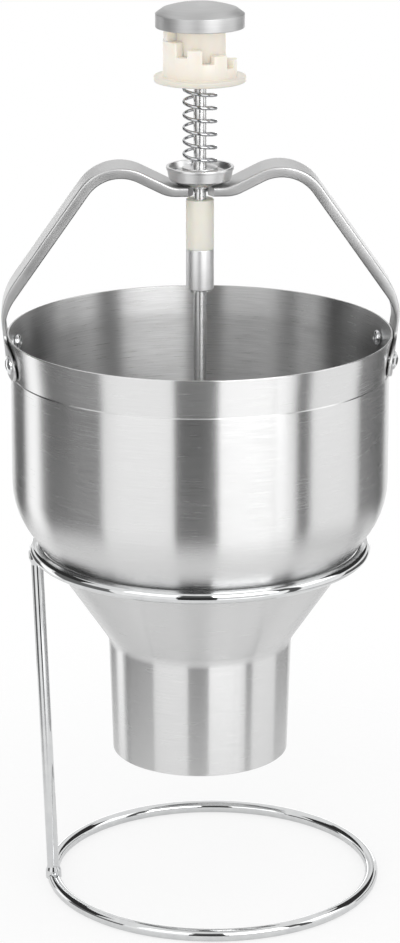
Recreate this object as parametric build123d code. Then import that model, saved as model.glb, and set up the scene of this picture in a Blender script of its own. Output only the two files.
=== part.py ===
from build123d import *
import math
import os

# Batter dispenser. Sizes are in millimetres, +Z is up and the table is z = 0.
# The hopper's axis is the Z axis, the handle lies along X and its slot opens to -Y.

# Stand: two rings and an upright of chromed wire
ring_wire = 6.6
upright_wire = 6.2
top_ring_radius = 84.0
top_ring_height = 183.5
base_ring_radius = 84.0
base_ring_shift = 6.5
upright_angle = 185.0

# Hopper: drawn stainless sheet
sheet = 1.0
seat_gap = 0.3
cone_angle = 34.0
bowl_radius = 95.5
bowl_wall_height = 89.5
shoulder_radius = 44.0
shoulder_share = 0.9
rim_band_height = 19.1
rim_flare = 1.9
rim_step = 0.4
rim_step_height = 0.8
neck_radius = 47.1
neck_fillet = 11.0
mouth_radius = 45.2
outlet_length = 61.4

# Handle: forged aluminium bow, flattened to lugs at both ends
bridge_height_over_rim = 73.0
bridge_thickness = 4.5
bridge_flat = 15.0
bar_width = 24.0
rise_angle = 26.5
valley_radius = 15.0
crest_radius = 22.0
arm_angle = 54.8
arm_thickness = 5.4
elbow_over_rim = 11.1
elbow_radius = 26.0
elbow_outer_radius = 34.0
lug_thickness = 1.6
lug_gap = 0.3
lug_bend_radius = 105.0
lug_half_width = 27.0
lug_below_rim = 19.2
lug_corner = 6.0
lug_neck_radius = 4.0
slot_width = 7.4
slot_mouth_width = 13.0
slot_mouth_depth = 5.0

# Rivets: two in each lug
rivet_spread = 22.0
rivet_below_rim = 10.7
rivet_shank_radius = 2.2
rivet_head_radius = 4.6
rivet_head_edge = 0.8
rivet_head_height = 2.4
rivet_tail_radius = 4.0
rivet_tail_height = 2.3
rivet_dimple_radius = 1.4
rivet_dimple_depth = 1.0
hole_clearance = 0.1

# Spring cup on the bridge
cup_rim_radius = 17.0
cup_lip_height = 1.4
cup_lip_step = 0.5
cup_base_radius = 15.4
cup_height = 8.9
cup_foot_height = 2.4
cup_foot_radius = 10.5
cup_wall = 1.5
cup_floor_depth = 3.4
cup_boss_radius = 8.9
cup_boss_below_rim = 0.5
spigot_radius = 5.4
spigot_depth = 2.0

# Return spring
spring_mean_radius = 8.05
spring_wire = 1.7
spring_turns = 6.25
spring_start_angle = 120.0
spring_gap = 0.3

# Rod and what is threaded on it
rod_radius = 3.25
rod_clearance = 0.1
stop_gap = 3.2
sleeve_radius = 7.0
sleeve_length = 25.3
tube_radius = 7.0
tube_wall = 2.2
tube_length = 20.4
clip_radius = 5.8
clip_thickness = 1.0
clip_mouth_width = 4.6
clip_groove_radius = 2.6
clip_clearance = 0.05

# Metering piston and shut-off disc, inside the outlet
disc_over_mouth = 5.3
disc_radius = 42.6
disc_thickness = 2.0
seal_inner_radius = 36.0
seal_thickness = 1.5
seal_clearance = 0.3
piston_over_neck = 15.0
piston_radius = 44.4
piston_thickness = 3.0
piston_edge_round = 0.8
piston_spacer_radius = 6.0
nut_across_flats = 11.0
nut_height = 5.0
rod_below_nut = 0.5

# Dose dial under the cap
dial_over_boss = 42.7
flange_radius = 22.9
flange_thickness = 3.0
flange_round = 0.9
dial_web = 2.0
crown_radius = 18.3
crown_height = 17.8
crown_step = 3.05
notch_depth = 3.8
notch_count = 4
notch_period = 43.0
notch_width = 19.0
ledge_start = 168.0
ledge_end = 228.0
stop_wall_width = 18.0
stop_wall_rise = 4.7

# Knob: plastic core with its lug, metal cap, nut
core_radius = 12.8
core_clearance = 0.1
core_into_crown = 16.6
core_lug_angle = 195.0
core_lug_width = 16.0
core_lug_radius = 18.0
core_lug_gap = 0.05
cap_over_crown = 5.9
cap_radius = 22.0
cap_wall = 1.4
cap_side = 6.8
cap_bevel_width = 3.6
cap_bevel_rise = 2.6
cap_dome_rise = 3.0
core_plate_height = 5.0
rod_shoulder_depth = 3.0
thread_radius = 2.5
knob_nut_across_flats = 8.0
knob_pocket_radius = 5.6
knob_pocket_floor = 2.0


def heading_vector(heading):
    return Vector(math.cos(math.radians(heading)), math.sin(math.radians(heading)))


def beside(point, heading, distance):
    """The point moved to the left of a heading."""
    return Vector(*point) + heading_vector(heading + 90) * distance


def crossing(point_a, heading_a, point_b, heading_b):
    """Where two lines meet, each given by a point and a heading in degrees."""
    a, b = Vector(*point_a), Vector(*point_b)
    u, v = heading_vector(heading_a), heading_vector(heading_b)
    gap = b - a
    along = (gap.X * v.Y - gap.Y * v.X) / (u.X * v.Y - u.Y * v.X)
    return a + u * along


def offset_corner(corner, heading_in, heading_out, left_in, left_out):
    """The corner of two lines after each is moved to its left."""
    line_in = beside(corner, heading_in, left_in)
    line_out = beside(corner, heading_out, left_out)
    return crossing(line_in, heading_in, line_out, heading_out)


def turned(*lines):
    """A solid of revolution about Z, from lines drawn as radius and height."""
    return revolve(Plane.XZ * make_face(list(lines)), Axis.Z)


def turned_polygon(*points):
    return turned(*Polyline(*points, close=True).edges())


def tube(radius, bore, bottom, height):
    return Pos(0, 0, bottom) * (
        Cylinder(radius, height, align=(Align.CENTER, Align.CENTER, Align.MIN))
        - Cylinder(bore, height, align=(Align.CENTER, Align.CENTER, Align.MIN))
    )


def hex_nut(across_flats, bore, bottom, height):
    blank = RegularPolygon(across_flats / 2, 6, major_radius=False) - Circle(bore)
    return Pos(0, 0, bottom) * extrude(blank, height)


def sector(inner, outer, start, end, bottom, top):
    """A piece of a ring between two angles."""
    wall = Plane.XZ * Pos((inner + outer) / 2, (bottom + top) / 2) * Rectangle(outer - inner, top - bottom)
    return Rot(0, 0, start) * revolve(wall, Axis.Z, revolution_arc=end - start)


# Heights that follow from the sizes above
cone_heading = 90 - cone_angle
outlet_heading = 90 - math.degrees(math.atan2(neck_radius - mouth_radius, outlet_length))
seat_distance = ring_wire / 2 + seat_gap
seat = beside((top_ring_radius, top_ring_height), cone_heading, seat_distance)
neck = crossing(seat, cone_heading, (neck_radius, 0), 90)
corner = crossing(seat, cone_heading, (bowl_radius, 0), 90)
neck_z = neck.Y
mouth_z = neck_z - outlet_length
rim_z = corner.Y + bowl_wall_height
band_radius = bowl_radius - rim_step
rim_radius = band_radius + rim_flare
lug_lean = math.degrees(math.atan2(rim_flare, rim_band_height))
band_z = rim_z - rim_band_height
bridge_mid = rim_z + bridge_height_over_rim
bridge_top = bridge_mid + bridge_thickness / 2
bridge_bottom = bridge_mid - bridge_thickness / 2
cup_rim_z = bridge_top + cup_height
boss_z = cup_rim_z - cup_boss_below_rim
dial_z = boss_z + dial_over_boss
flange_top = dial_z + flange_thickness
ledge_z = flange_top + crown_height
core_z = ledge_z - core_into_crown
cap_z = ledge_z + cap_over_crown
sleeve_z = bridge_bottom - stop_gap - sleeve_length
tube_z = sleeve_z - tube_length
disc_z = mouth_z + disc_over_mouth
seal_z = disc_z + disc_thickness
spacer_z = seal_z + seal_thickness
piston_z = neck_z + piston_over_neck
end_nut_z = disc_z - nut_height
rod_shoulder_z = core_z + rod_shoulder_depth
rod_bore = rod_radius + rod_clearance


def base_ring_centre():
    return heading_vector(upright_angle + 180) * base_ring_shift


def make_base_ring():
    centre = base_ring_centre()
    return Pos(centre.X, centre.Y, ring_wire / 2) * Torus(base_ring_radius, ring_wire / 2)


def make_top_ring():
    return Pos(0, 0, top_ring_height) * Torus(top_ring_radius, ring_wire / 2)


def make_upright(base_ring, top_ring):
    """A straight rod between the two rings, its ends coped to their wire."""
    out = heading_vector(upright_angle)
    foot = base_ring_centre() + out * base_ring_radius + Vector(0, 0, ring_wire / 2)
    head = out * top_ring_radius + Vector(0, 0, top_ring_height)
    length = (head - foot).length
    rod = Cylinder(upright_wire / 2, length, align=(Align.CENTER, Align.CENTER, Align.MIN))
    blank = Plane(origin=foot, z_dir=head - foot) * rod
    pieces = (blank - base_ring - top_ring).solids()
    return max(pieces, key=lambda piece: piece.volume)


def band_face(height):
    """Outer radius of the rim band at a height: the band flares towards the rim."""
    return rim_radius - (rim_z - height) * rim_flare / rim_band_height


def lug_face(height):
    """Where the lug's inner face crosses the X axis at a height: it follows the band."""
    return band_face(height) + lug_gap


def lug_axis():
    """Axis that the lug is bent round. It lies beyond the hopper's axis: the lug is flatter than the bowl."""
    return Axis((lug_face(rim_z) - lug_bend_radius, 0, 0), (0, 0, 1))


def rivet_bend():
    """Distance of the lug's inner face from the axis of its bend, at the rivets' height."""
    return lug_face(rim_z - rivet_below_rim) - lug_axis().position.X


def rivet_swing():
    """Angle of a rivet about the axis of the lug's bend."""
    return math.asin(rivet_spread / rivet_bend())


def rivet_places():
    """Places of the four rivets: the origin on the lug's inner face, +X square out of it."""
    at_lug = Pos(rivet_bend(), 0, rim_z - rivet_below_rim) * Rot(0, lug_lean, 0)
    axis_x = lug_axis().position.X
    swing = math.degrees(rivet_swing())
    bent = [Pos(axis_x, 0) * Rot(0, 0, turn) * at_lug for turn in (-swing, swing)]
    return [Rot(0, 0, side) * place for side in (0, 180) for place in bent]


def rivet_grip():
    """How far behind the lug's inner face a rivet's tail bears on the wall, on the tail's higher side."""
    wall = band_face(rim_z - rivet_below_rim) - sheet
    beyond = -lug_axis().position.X
    side = beyond * math.sin(rivet_swing())
    inside = beyond * math.cos(rivet_swing()) + math.sqrt(wall**2 - side**2)
    tilt = math.asin(side / wall)
    bulge = rivet_tail_radius**2 / wall
    return rivet_bend() - inside + rivet_tail_radius * math.tan(tilt) + bulge


def rivet_holes():
    drill = Rot(0, 90, 0) * Cylinder(rivet_shank_radius + hole_clearance, bowl_radius / 2)
    return [place * drill for place in rivet_places()]


def make_bowl():
    """Rim band, crease, wall, shoulder and the upper part of the cone."""
    inner_corner = offset_corner(corner, cone_heading, 90, sheet, sheet)
    inner_seat = beside(seat, cone_heading, sheet)
    step_z = band_z - rim_step_height
    room = shoulder_share * (corner - seat).length / math.tan(math.radians(cone_angle / 2))
    shoulder = min(shoulder_radius, room)
    outside = Polyline((rim_radius, rim_z), (band_radius, band_z), (bowl_radius, step_z))
    inside = Polyline(
        (rim_radius - sheet, rim_z), (band_radius - sheet, band_z), (bowl_radius - sheet, step_z)
    )
    outer_shoulder = FilletPolyline((bowl_radius, step_z), corner, seat, radius=shoulder)
    inner_shoulder = FilletPolyline(
        (bowl_radius - sheet, step_z), inner_corner, inner_seat, radius=shoulder - sheet
    )
    bowl = turned(
        *outside.edges(),
        *inside.edges(),
        *outer_shoulder.edges(),
        *inner_shoulder.edges(),
        Line((rim_radius, rim_z), (rim_radius - sheet, rim_z)),
        Line(seat, inner_seat),
    )
    return bowl - rivet_holes()


def mouth_bore():
    """Inner radius of the outlet at its mouth."""
    return mouth_radius - sheet / math.sin(math.radians(outlet_heading))


def make_funnel():
    """The lower part of the cone and the tapered outlet."""
    inner_seat = beside(seat, cone_heading, sheet)
    inner_neck = offset_corner(neck, outlet_heading, cone_heading, sheet, sheet)
    outside = FilletPolyline(seat, neck, (mouth_radius, mouth_z), radius=neck_fillet)
    inside = FilletPolyline(inner_seat, inner_neck, (mouth_bore(), mouth_z), radius=neck_fillet + sheet)
    return turned(
        *outside.edges(),
        *inside.edges(),
        Line(seat, inner_seat),
        Line((mouth_radius, mouth_z), (mouth_bore(), mouth_z)),
    )


def handle_bar_face():
    """Half of the bow seen from the front: bridge, rise, crest, arm and elbow."""
    lug_heading = -90 - lug_lean
    bridge_end = Vector(bridge_flat, bridge_mid)
    elbow_z = rim_z + elbow_over_rim
    elbow_in = Vector(lug_face(elbow_z), elbow_z)
    arm_line = beside(elbow_in, -arm_angle, arm_thickness / 2)
    crest = crossing(bridge_end, rise_angle, arm_line, -arm_angle)
    half_bridge = bridge_thickness / 2
    half_arm = arm_thickness / 2
    tangent = (elbow_radius + lug_thickness) * math.tan(math.radians((90 + lug_lean - arm_angle) / 2))
    end_z = elbow_z - tangent
    end_in = Vector(lug_face(end_z), end_z)
    end_out = beside(end_in, lug_heading, lug_thickness)
    elbow_out = crossing(beside(crest, -arm_angle, half_arm), -arm_angle, end_out, lug_heading)
    top = FilletPolyline(
        (0, bridge_top),
        offset_corner(bridge_end, 0, rise_angle, half_bridge, half_arm),
        offset_corner(crest, rise_angle, -arm_angle, half_arm, half_arm),
        elbow_out,
        end_out,
        radius=[valley_radius - half_arm, crest_radius + half_arm, elbow_outer_radius],
    )
    bottom = FilletPolyline(
        (0, bridge_bottom),
        offset_corner(bridge_end, 0, rise_angle, -half_bridge, -half_arm),
        offset_corner(crest, rise_angle, -arm_angle, -half_arm, -half_arm),
        elbow_in,
        end_in,
        radius=[valley_radius + half_arm, crest_radius - half_arm, elbow_radius],
    )
    middle = Line((0, bridge_top), (0, bridge_bottom))
    end = Line(end_out, end_in)
    return make_face([*top.edges(), *bottom.edges(), middle, end])


def make_lug():
    """The arm's flattened end: a wide ear with round shoulders, bent to lie along the bowl."""
    foot_z = rim_z - lug_below_rim
    top_z = rim_z + elbow_over_rim - elbow_radius * math.tan(math.radians((90 + lug_lean - arm_angle) / 2))
    face = Polyline(
        (lug_face(foot_z), foot_z),
        (lug_face(foot_z) + lug_thickness, foot_z),
        (lug_face(top_z) + lug_thickness, top_z),
        (lug_face(top_z), top_z),
        close=True,
    )
    reach = 2 * math.degrees(math.asin(lug_half_width / lug_bend_radius))
    bent = revolve(Plane.XZ * make_face(face.edges()), lug_axis(), revolution_arc=2 * reach)
    shell = bent.rotate(lug_axis(), -reach)
    half_bar = bar_width / 2
    neck_end = (half_bar + lug_neck_radius, top_z - lug_neck_radius)
    neck = TangentArc((half_bar, top_z), neck_end, tangent=(0, -1))
    shoulder = TangentArc(neck_end, (lug_half_width, foot_z), tangent=(1, 0))
    outline = make_face(
        [
            neck,
            shoulder,
            mirror(neck, Plane.YZ).edge(),
            mirror(shoulder, Plane.YZ).edge(),
            Line((-half_bar, top_z), (half_bar, top_z)),
            Line((-lug_half_width, foot_z), (lug_half_width, foot_z)),
        ]
    )
    outline = fillet(outline.vertices().sort_by(Axis.Y)[:2], lug_corner)
    return shell & extrude(Plane.YZ * outline, 2 * bowl_radius)


def handle_slot():
    """Slot for the rod, open to the front and wider at its mouth, and the eye for the cup's spigot."""
    half = slot_width / 2
    front = -bar_width
    mouth_start = -bar_width / 2 + slot_mouth_depth
    spread = (slot_mouth_width - slot_width) / 2 / slot_mouth_depth
    wide = half + spread * (mouth_start - front)
    cut = Polyline(
        (-half, 0),
        (-half, mouth_start),
        (-wide, front),
        (wide, front),
        (half, mouth_start),
        (half, 0),
        close=True,
    )
    slot = extrude(make_face(cut.edges()) + Circle(half), 4 * bridge_thickness, both=True)
    eye = Pos(0, 0, bridge_thickness / 2) * Cylinder(
        spigot_radius + hole_clearance, 2 * (spigot_depth + hole_clearance)
    )
    return Pos(0, 0, bridge_mid) * (slot + eye)


def make_handle():
    bar = extrude(Plane.XZ * handle_bar_face(), bar_width / 2, both=True)
    half = bar + make_lug()
    bow = half + mirror(half, Plane.YZ)
    return bow - handle_slot() - rivet_holes()


def make_rivets():
    """Domed head outside, round tail with a dimple inside."""
    head = lug_thickness
    tail = -rivet_grip()
    head_edge = head + rivet_head_edge
    tail_edge = tail - rivet_head_edge / 2
    tail_end = tail - rivet_tail_height
    dimple = tail_end + rivet_dimple_depth
    section = make_face(
        [
            Line((dimple, 0), (head + rivet_head_height, 0)),
            TangentArc(
                (head + rivet_head_height, 0), (head_edge, rivet_head_radius), tangent=(0, 1)
            ),
            *Polyline(
                (head_edge, rivet_head_radius),
                (head, rivet_head_radius),
                (head, rivet_shank_radius),
                (tail, rivet_shank_radius),
                (tail, rivet_tail_radius),
                (tail_edge, rivet_tail_radius),
            ).edges(),
            TangentArc(
                (tail_edge, rivet_tail_radius), (tail_end, rivet_dimple_radius), tangent=(-1, 0)
            ),
            Line((tail_end, rivet_dimple_radius), (dimple, 0)),
        ]
    )
    rivet = revolve(section, Axis.X)
    return Compound(children=[place * rivet for place in rivet_places()])


def make_cup():
    """Flared cup with a lip, a raised boss for the spring and a spigot in the bridge's eye."""
    foot_z = bridge_top + cup_foot_height
    floor_z = cup_rim_z - cup_floor_depth
    return turned_polygon(
        (rod_bore, bridge_top - spigot_depth),
        (spigot_radius, bridge_top - spigot_depth),
        (spigot_radius, bridge_top),
        (cup_foot_radius, bridge_top),
        (cup_base_radius, foot_z),
        (cup_rim_radius - cup_lip_step, cup_rim_z - cup_lip_height),
        (cup_rim_radius, cup_rim_z - cup_lip_height),
        (cup_rim_radius, cup_rim_z),
        (cup_rim_radius - cup_wall, cup_rim_z),
        (cup_base_radius - cup_wall, floor_z),
        (cup_boss_radius, floor_z),
        (cup_boss_radius, boss_z),
        (rod_bore, boss_z),
    )


def spring_point(turn, bottom, pitch):
    """A point of the wire's centre line: going up, the wire runs clockwise seen from above."""
    angle = math.radians(spring_start_angle) - 2 * math.pi * turn
    return Vector(
        spring_mean_radius * math.cos(angle), spring_mean_radius * math.sin(angle), bottom + pitch * turn
    )


def spring_tangent(turn, pitch):
    angle = math.radians(spring_start_angle) - 2 * math.pi * turn
    around = 2 * math.pi * spring_mean_radius
    return Vector(around * math.sin(angle), -around * math.cos(angle), pitch).normalized()


def biarc(start, start_tangent, end, end_tangent):
    """Two tangent arcs between two points with given directions."""
    chord = end - start
    both = start_tangent + end_tangent
    bend = 2 * (1 - start_tangent.dot(end_tangent))
    along = chord.dot(both)
    reach = (math.sqrt(along**2 + bend * chord.dot(chord)) - along) / bend
    middle = (start + end + (start_tangent - end_tangent) * reach) * 0.5
    first = Edge.make_tangent_arc(start, start_tangent, middle)
    second = Edge.make_tangent_arc(middle, first.tangent_at(1), end)
    return [first, second]


def make_spring():
    """Open-ended wire spring, one tube from the cup's boss to the dial."""
    bottom = boss_z + spring_wire / 2 + spring_gap / 2
    pitch = (dial_over_boss - spring_wire - spring_gap) / spring_turns
    quarters = round(4 * spring_turns)
    arcs = []
    for quarter in range(quarters):
        low, high = quarter / 4, (quarter + 1) / 4
        arcs += biarc(
            spring_point(low, bottom, pitch),
            spring_tangent(low, pitch),
            spring_point(high, bottom, pitch),
            spring_tangent(high, pitch),
        )
    path = Wire(arcs)
    section = Plane(origin=path @ 0, z_dir=path % 0) * Circle(spring_wire / 2)
    wire = sweep(section, path=path)
    samples = 12 * quarters
    points = [path @ (index / samples) for index in range(samples + 1)]
    apart = samples // (2 * int(spring_turns))
    least = min(
        (points[i] - points[j]).length for i in range(len(points)) for j in range(i + apart, len(points))
    )
    tube_volume = math.pi * (spring_wire / 2) ** 2 * path.length
    print(f"spring: least gap between turns {least - spring_wire:.2f} mm")
    print(f"spring: volume {wire.volume:.0f} mm3, section times length {tube_volume:.0f} mm3")
    return wire


def make_rod():
    """Rod with a shoulder and a threaded end in the knob, and a groove for the clip."""
    bottom = end_nut_z - rod_below_nut
    top = cap_z + core_plate_height
    groove_top = tube_z
    groove_bottom = tube_z - clip_thickness - 2 * clip_clearance
    return turned_polygon(
        (0, bottom),
        (rod_radius, bottom),
        (rod_radius, groove_bottom),
        (clip_groove_radius, groove_bottom),
        (clip_groove_radius, groove_top),
        (rod_radius, groove_top),
        (rod_radius, rod_shoulder_z),
        (thread_radius, rod_shoulder_z),
        (thread_radius, top),
        (0, top),
    )


def make_clip():
    """Retaining ring that snaps into the rod's groove from the side."""
    ring = Circle(clip_radius) - Circle(clip_groove_radius + clip_clearance)
    mouth = Pos(0, -clip_radius) * Rectangle(clip_mouth_width, 2 * clip_radius)
    return Pos(0, 0, tube_z - clip_thickness - clip_clearance) * extrude(ring - mouth, clip_thickness)


def make_disc():
    """Shut-off disc with a raised centre that holds the seal."""
    return turned_polygon(
        (rod_radius, disc_z),
        (disc_radius, disc_z),
        (disc_radius, seal_z),
        (seal_inner_radius, seal_z),
        (seal_inner_radius, spacer_z),
        (rod_radius, spacer_z),
    )


def make_seal():
    return tube(mouth_bore() - seal_clearance, seal_inner_radius, seal_z, seal_thickness)


def make_piston():
    blank = tube(piston_radius, rod_radius, piston_z, piston_thickness)
    circles = blank.edges().filter_by(GeomType.CIRCLE)
    rims = circles.filter_by(lambda edge: edge.radius > piston_spacer_radius)
    return fillet(rims, piston_edge_round)


def crown_steps():
    """Angles and top heights of the crown's pieces, the way the dial is read from dose to dose."""
    steps = [(ledge_start, ledge_end, ledge_z)]
    start = ledge_end
    for step in range(1, notch_count + 1):
        merlon_z = ledge_z - crown_step * step
        end = start + notch_period
        if step == notch_count:
            end = ledge_start - stop_wall_width + 360
        steps.append((start, start + notch_width, merlon_z - notch_depth))
        steps.append((start + notch_width, end, merlon_z))
        start = end
    return steps


def make_dial():
    """Flange, thin web round the rod, and a crown of steps with a notch before each lower merlon."""
    bore = core_radius + core_clearance
    crown_top = ledge_z + stop_wall_rise
    blank = turned_polygon(
        (rod_bore, dial_z),
        (flange_radius, dial_z),
        (flange_radius, flange_top),
        (crown_radius, flange_top),
        (crown_radius, crown_top),
        (bore, crown_top),
        (bore, dial_z + dial_web),
        (rod_bore, dial_z + dial_web),
    )
    rims = blank.edges().filter_by(GeomType.CIRCLE).filter_by(lambda edge: edge.radius > crown_radius + 1)
    dial = fillet(rims, flange_round)
    for start, end, top in crown_steps():
        dial -= sector(rod_bore, flange_radius, start, end, top, crown_top + 1)
    return dial


def make_core():
    """Hub that guides the dial, plate inside the cap and the lug that stands on the steps."""
    plate_top = cap_z + core_plate_height
    hub = turned_polygon(
        (rod_bore, core_z),
        (core_radius, core_z),
        (core_radius, cap_z),
        (cap_radius - cap_wall, cap_z),
        (cap_radius - cap_wall, plate_top),
        (knob_pocket_radius, plate_top),
        (knob_pocket_radius, cap_z + knob_pocket_floor),
        (thread_radius, cap_z + knob_pocket_floor),
        (thread_radius, rod_shoulder_z),
        (rod_bore, rod_shoulder_z),
    )
    start = core_lug_angle - core_lug_width / 2
    lug = sector(
        core_radius - cap_wall, core_lug_radius, start, start + core_lug_width, ledge_z + core_lug_gap, cap_z
    )
    return hub + lug


def make_cap():
    """Thumb cap: straight side, bevelled shoulder and a shallow dome, hollow below."""
    side_top = cap_z + cap_side
    bevel_top = side_top + cap_bevel_rise
    bevel_radius = cap_radius - cap_bevel_width
    apex = bevel_top + cap_dome_rise
    plate_top = cap_z + core_plate_height
    dome = TangentArc((0, apex), (bevel_radius, bevel_top), tangent=(1, 0))
    shell = Polyline(
        (0, apex),
        (0, plate_top),
        (cap_radius - cap_wall, plate_top),
        (cap_radius - cap_wall, cap_z),
        (cap_radius, cap_z),
        (cap_radius, side_top),
        (bevel_radius, bevel_top),
    )
    return turned(dome, *shell.edges())


def main():
    base_ring = make_base_ring()
    top_ring = make_top_ring()
    nodes = {
        "stand_base_ring": base_ring,
        "stand_top_ring": top_ring,
        "stand_upright": make_upright(base_ring, top_ring),
        "hopper_bowl": make_bowl(),
        "outlet_funnel": make_funnel(),
        "handle": make_handle(),
        "handle_rivets": make_rivets(),
        "spring_cup": make_cup(),
        "return_spring": make_spring(),
        "plunger_rod": make_rod(),
        "stop_sleeve": tube(sleeve_radius, rod_radius, sleeve_z, sleeve_length),
        "spacer_tube": tube(tube_radius, tube_radius - tube_wall, tube_z, tube_length),
        "rod_clip": make_clip(),
        "shut_off_disc": make_disc(),
        "disc_seal": make_seal(),
        "end_nut": hex_nut(nut_across_flats, rod_radius, end_nut_z, nut_height),
        "piston_spacer": tube(piston_spacer_radius, rod_radius, spacer_z, piston_z - spacer_z),
        "metering_piston": make_piston(),
        "piston_lock_nut": hex_nut(nut_across_flats, rod_radius, piston_z + piston_thickness, nut_height),
        "dose_dial": make_dial(),
        "knob_core": make_core(),
        "knob_nut": hex_nut(knob_nut_across_flats, thread_radius, cap_z + knob_pocket_floor,
                            core_plate_height - knob_pocket_floor),
        "knob_cap": make_cap(),
    }
    os.makedirs("parts", exist_ok=True)
    for name, shape in nodes.items():
        export_step(shape, f"parts/{name}.step")
    print(f"rim {rim_z:.1f}, mouth {mouth_z:.1f}, bridge {bridge_mid:.1f}")
    print(f"dial {dial_z:.1f}, cap {cap_z:.1f}")


main()
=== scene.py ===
# %% [markdown]
# # Batter dispenser
#
# A steel hopper with a tapered outlet stands in a wire ring stand. A bow handle is riveted to the rim.
# On the bow's bridge sits a small cup with a spring, and the spring holds up a plunger: a rod with a
# piston and a shut-off disc at its lower end, and a dose dial and a thumb cap at its upper end.
#
# The CAD model gives every size and place. This lesson makes the surfaces: brushed sheet metal, chromed
# wire, satin aluminium and cream plastic, under a plain studio light.

# %% Load the frame
import math

import bmesh
import bpy
from mathutils import Matrix, Vector


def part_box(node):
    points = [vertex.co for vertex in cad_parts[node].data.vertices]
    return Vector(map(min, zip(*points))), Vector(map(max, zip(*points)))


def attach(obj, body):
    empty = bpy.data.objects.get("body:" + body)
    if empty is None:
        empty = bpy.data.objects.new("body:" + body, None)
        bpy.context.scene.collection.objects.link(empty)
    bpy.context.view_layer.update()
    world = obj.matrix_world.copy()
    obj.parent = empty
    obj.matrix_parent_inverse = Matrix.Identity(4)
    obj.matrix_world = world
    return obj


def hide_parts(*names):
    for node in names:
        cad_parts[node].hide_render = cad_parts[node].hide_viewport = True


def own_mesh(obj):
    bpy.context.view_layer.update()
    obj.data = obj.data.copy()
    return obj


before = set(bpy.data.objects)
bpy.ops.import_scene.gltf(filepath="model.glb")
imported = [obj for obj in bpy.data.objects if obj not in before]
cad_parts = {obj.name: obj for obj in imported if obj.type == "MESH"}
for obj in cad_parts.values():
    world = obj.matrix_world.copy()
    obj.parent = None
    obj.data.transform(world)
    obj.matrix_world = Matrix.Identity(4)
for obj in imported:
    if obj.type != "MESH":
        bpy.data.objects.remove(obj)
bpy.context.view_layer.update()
MM = 0.001


def span(node, axis):
    """Lowest and highest value of a CAD node along one axis (0, 1 or 2), in millimetres."""
    low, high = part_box(node)
    return low[axis] / MM, high[axis] / MM


# %% [markdown]
# ## The camera
#
# The picture was taken from about 1.6 m away and a little above the rim. A camera is a point, a direction
# and a lens. These three were found by fitting the rings' ellipses in the photograph, so that the model
# falls on the picture. The handle's left end is a little nearer than its right one, so the camera stands
# a few degrees round from the front.

# %% Camera
PHOTO_HEIGHT = 943
CAMERA_DISTANCE = 1609.2
CAMERA_HEIGHT = 709.4
CAMERA_PITCH = 16.84
CAMERA_TURN = 2.8
FOCAL_PIXELS = 3302.3
SENSOR = 24.0


def place(name, data):
    """A new object with this data, linked to the scene."""
    made = bpy.data.objects.new(name, data)
    bpy.context.scene.collection.objects.link(made)
    return made


turn = math.radians(CAMERA_TURN)
camera = place("photo_camera", bpy.data.cameras.new("photo_camera"))
camera.data.sensor_fit = "VERTICAL"
camera.data.sensor_height = SENSOR
camera.data.lens = FOCAL_PIXELS / PHOTO_HEIGHT * SENSOR
camera.location = (
    -CAMERA_DISTANCE * MM * math.sin(turn),
    -CAMERA_DISTANCE * MM * math.cos(turn),
    CAMERA_HEIGHT * MM,
)
camera.rotation_euler = (math.radians(90 - CAMERA_PITCH), 0, -turn)
bpy.context.scene.camera = camera
bpy.context.scene.view_settings.view_transform = "Standard"
print("lens", round(camera.data.lens, 1), "mm")

# %% [markdown]
# ## Colours and nodes
#
# Colours are written as a painter writes them, in sRGB hex. Blender's shaders work in linear light, so
# one function turns hex to linear. A second one adds a node, sets it and links it, which keeps each
# material short enough to read.


# %% Colour and node helpers
def linear(hex_colour):
    """An sRGB hex colour as a linear RGBA value."""
    channels = [int(hex_colour[i : i + 2], 16) / 255 for i in (1, 3, 5)]
    light = [c / 12.92 if c <= 0.04045 else ((c + 0.055) / 1.055) ** 2.4 for c in channels]
    return (*light, 1.0)


def node(tree, kind, inputs=None, **settings):
    """Add a node: settings are its properties, inputs are values or the sockets linked to it."""
    made = tree.nodes.new(kind)
    for name, value in settings.items():
        setattr(made, name, value)
    for name, value in (inputs or {}).items():
        if isinstance(value, bpy.types.NodeSocket):
            tree.links.new(value, made.inputs[name])
        else:
            made.inputs[name].default_value = value
    return made


print("middle grey in linear light:", round(linear("#808080")[0], 3))

# %% [markdown]
# ## The studio
#
# Polished metal has hardly any colour of its own: it shows the room. The room here is plain white. The
# camera sees it, and so do the metal's reflections. Matt surfaces are lit by the same room at a level at
# which a colour looks about as it is written.

# %% World
ROOM_LIGHT = 0.95


def rays(tree):
    """Light Path's camera ray, and its glossy and transmission rays taken together."""
    ray = node(tree, "ShaderNodeLightPath").outputs
    either = {0: ray["Is Glossy Ray"], 1: ray["Is Transmission Ray"]}
    return ray["Is Camera Ray"], node(tree, "ShaderNodeMath", either, operation="MAXIMUM").outputs[0]


world = bpy.data.worlds.new("studio")
bpy.context.scene.world = world
world.use_nodes = True
tree = world.node_tree
tree.nodes.clear()
from_camera, mirrored = rays(tree)
seen = node(tree, "ShaderNodeMath", {0: from_camera, 1: mirrored}, operation="MAXIMUM").outputs[0]
level = node(
    tree, "ShaderNodeMapRange", {"Value": seen, "To Min": ROOM_LIGHT, "To Max": 1.0}
).outputs["Result"]
sky = node(tree, "ShaderNodeBackground", {"Color": (1, 1, 1, 1), "Strength": level})
node(tree, "ShaderNodeOutputWorld", {"Surface": sky.outputs[0]})
print("room light", ROOM_LIGHT)

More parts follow.
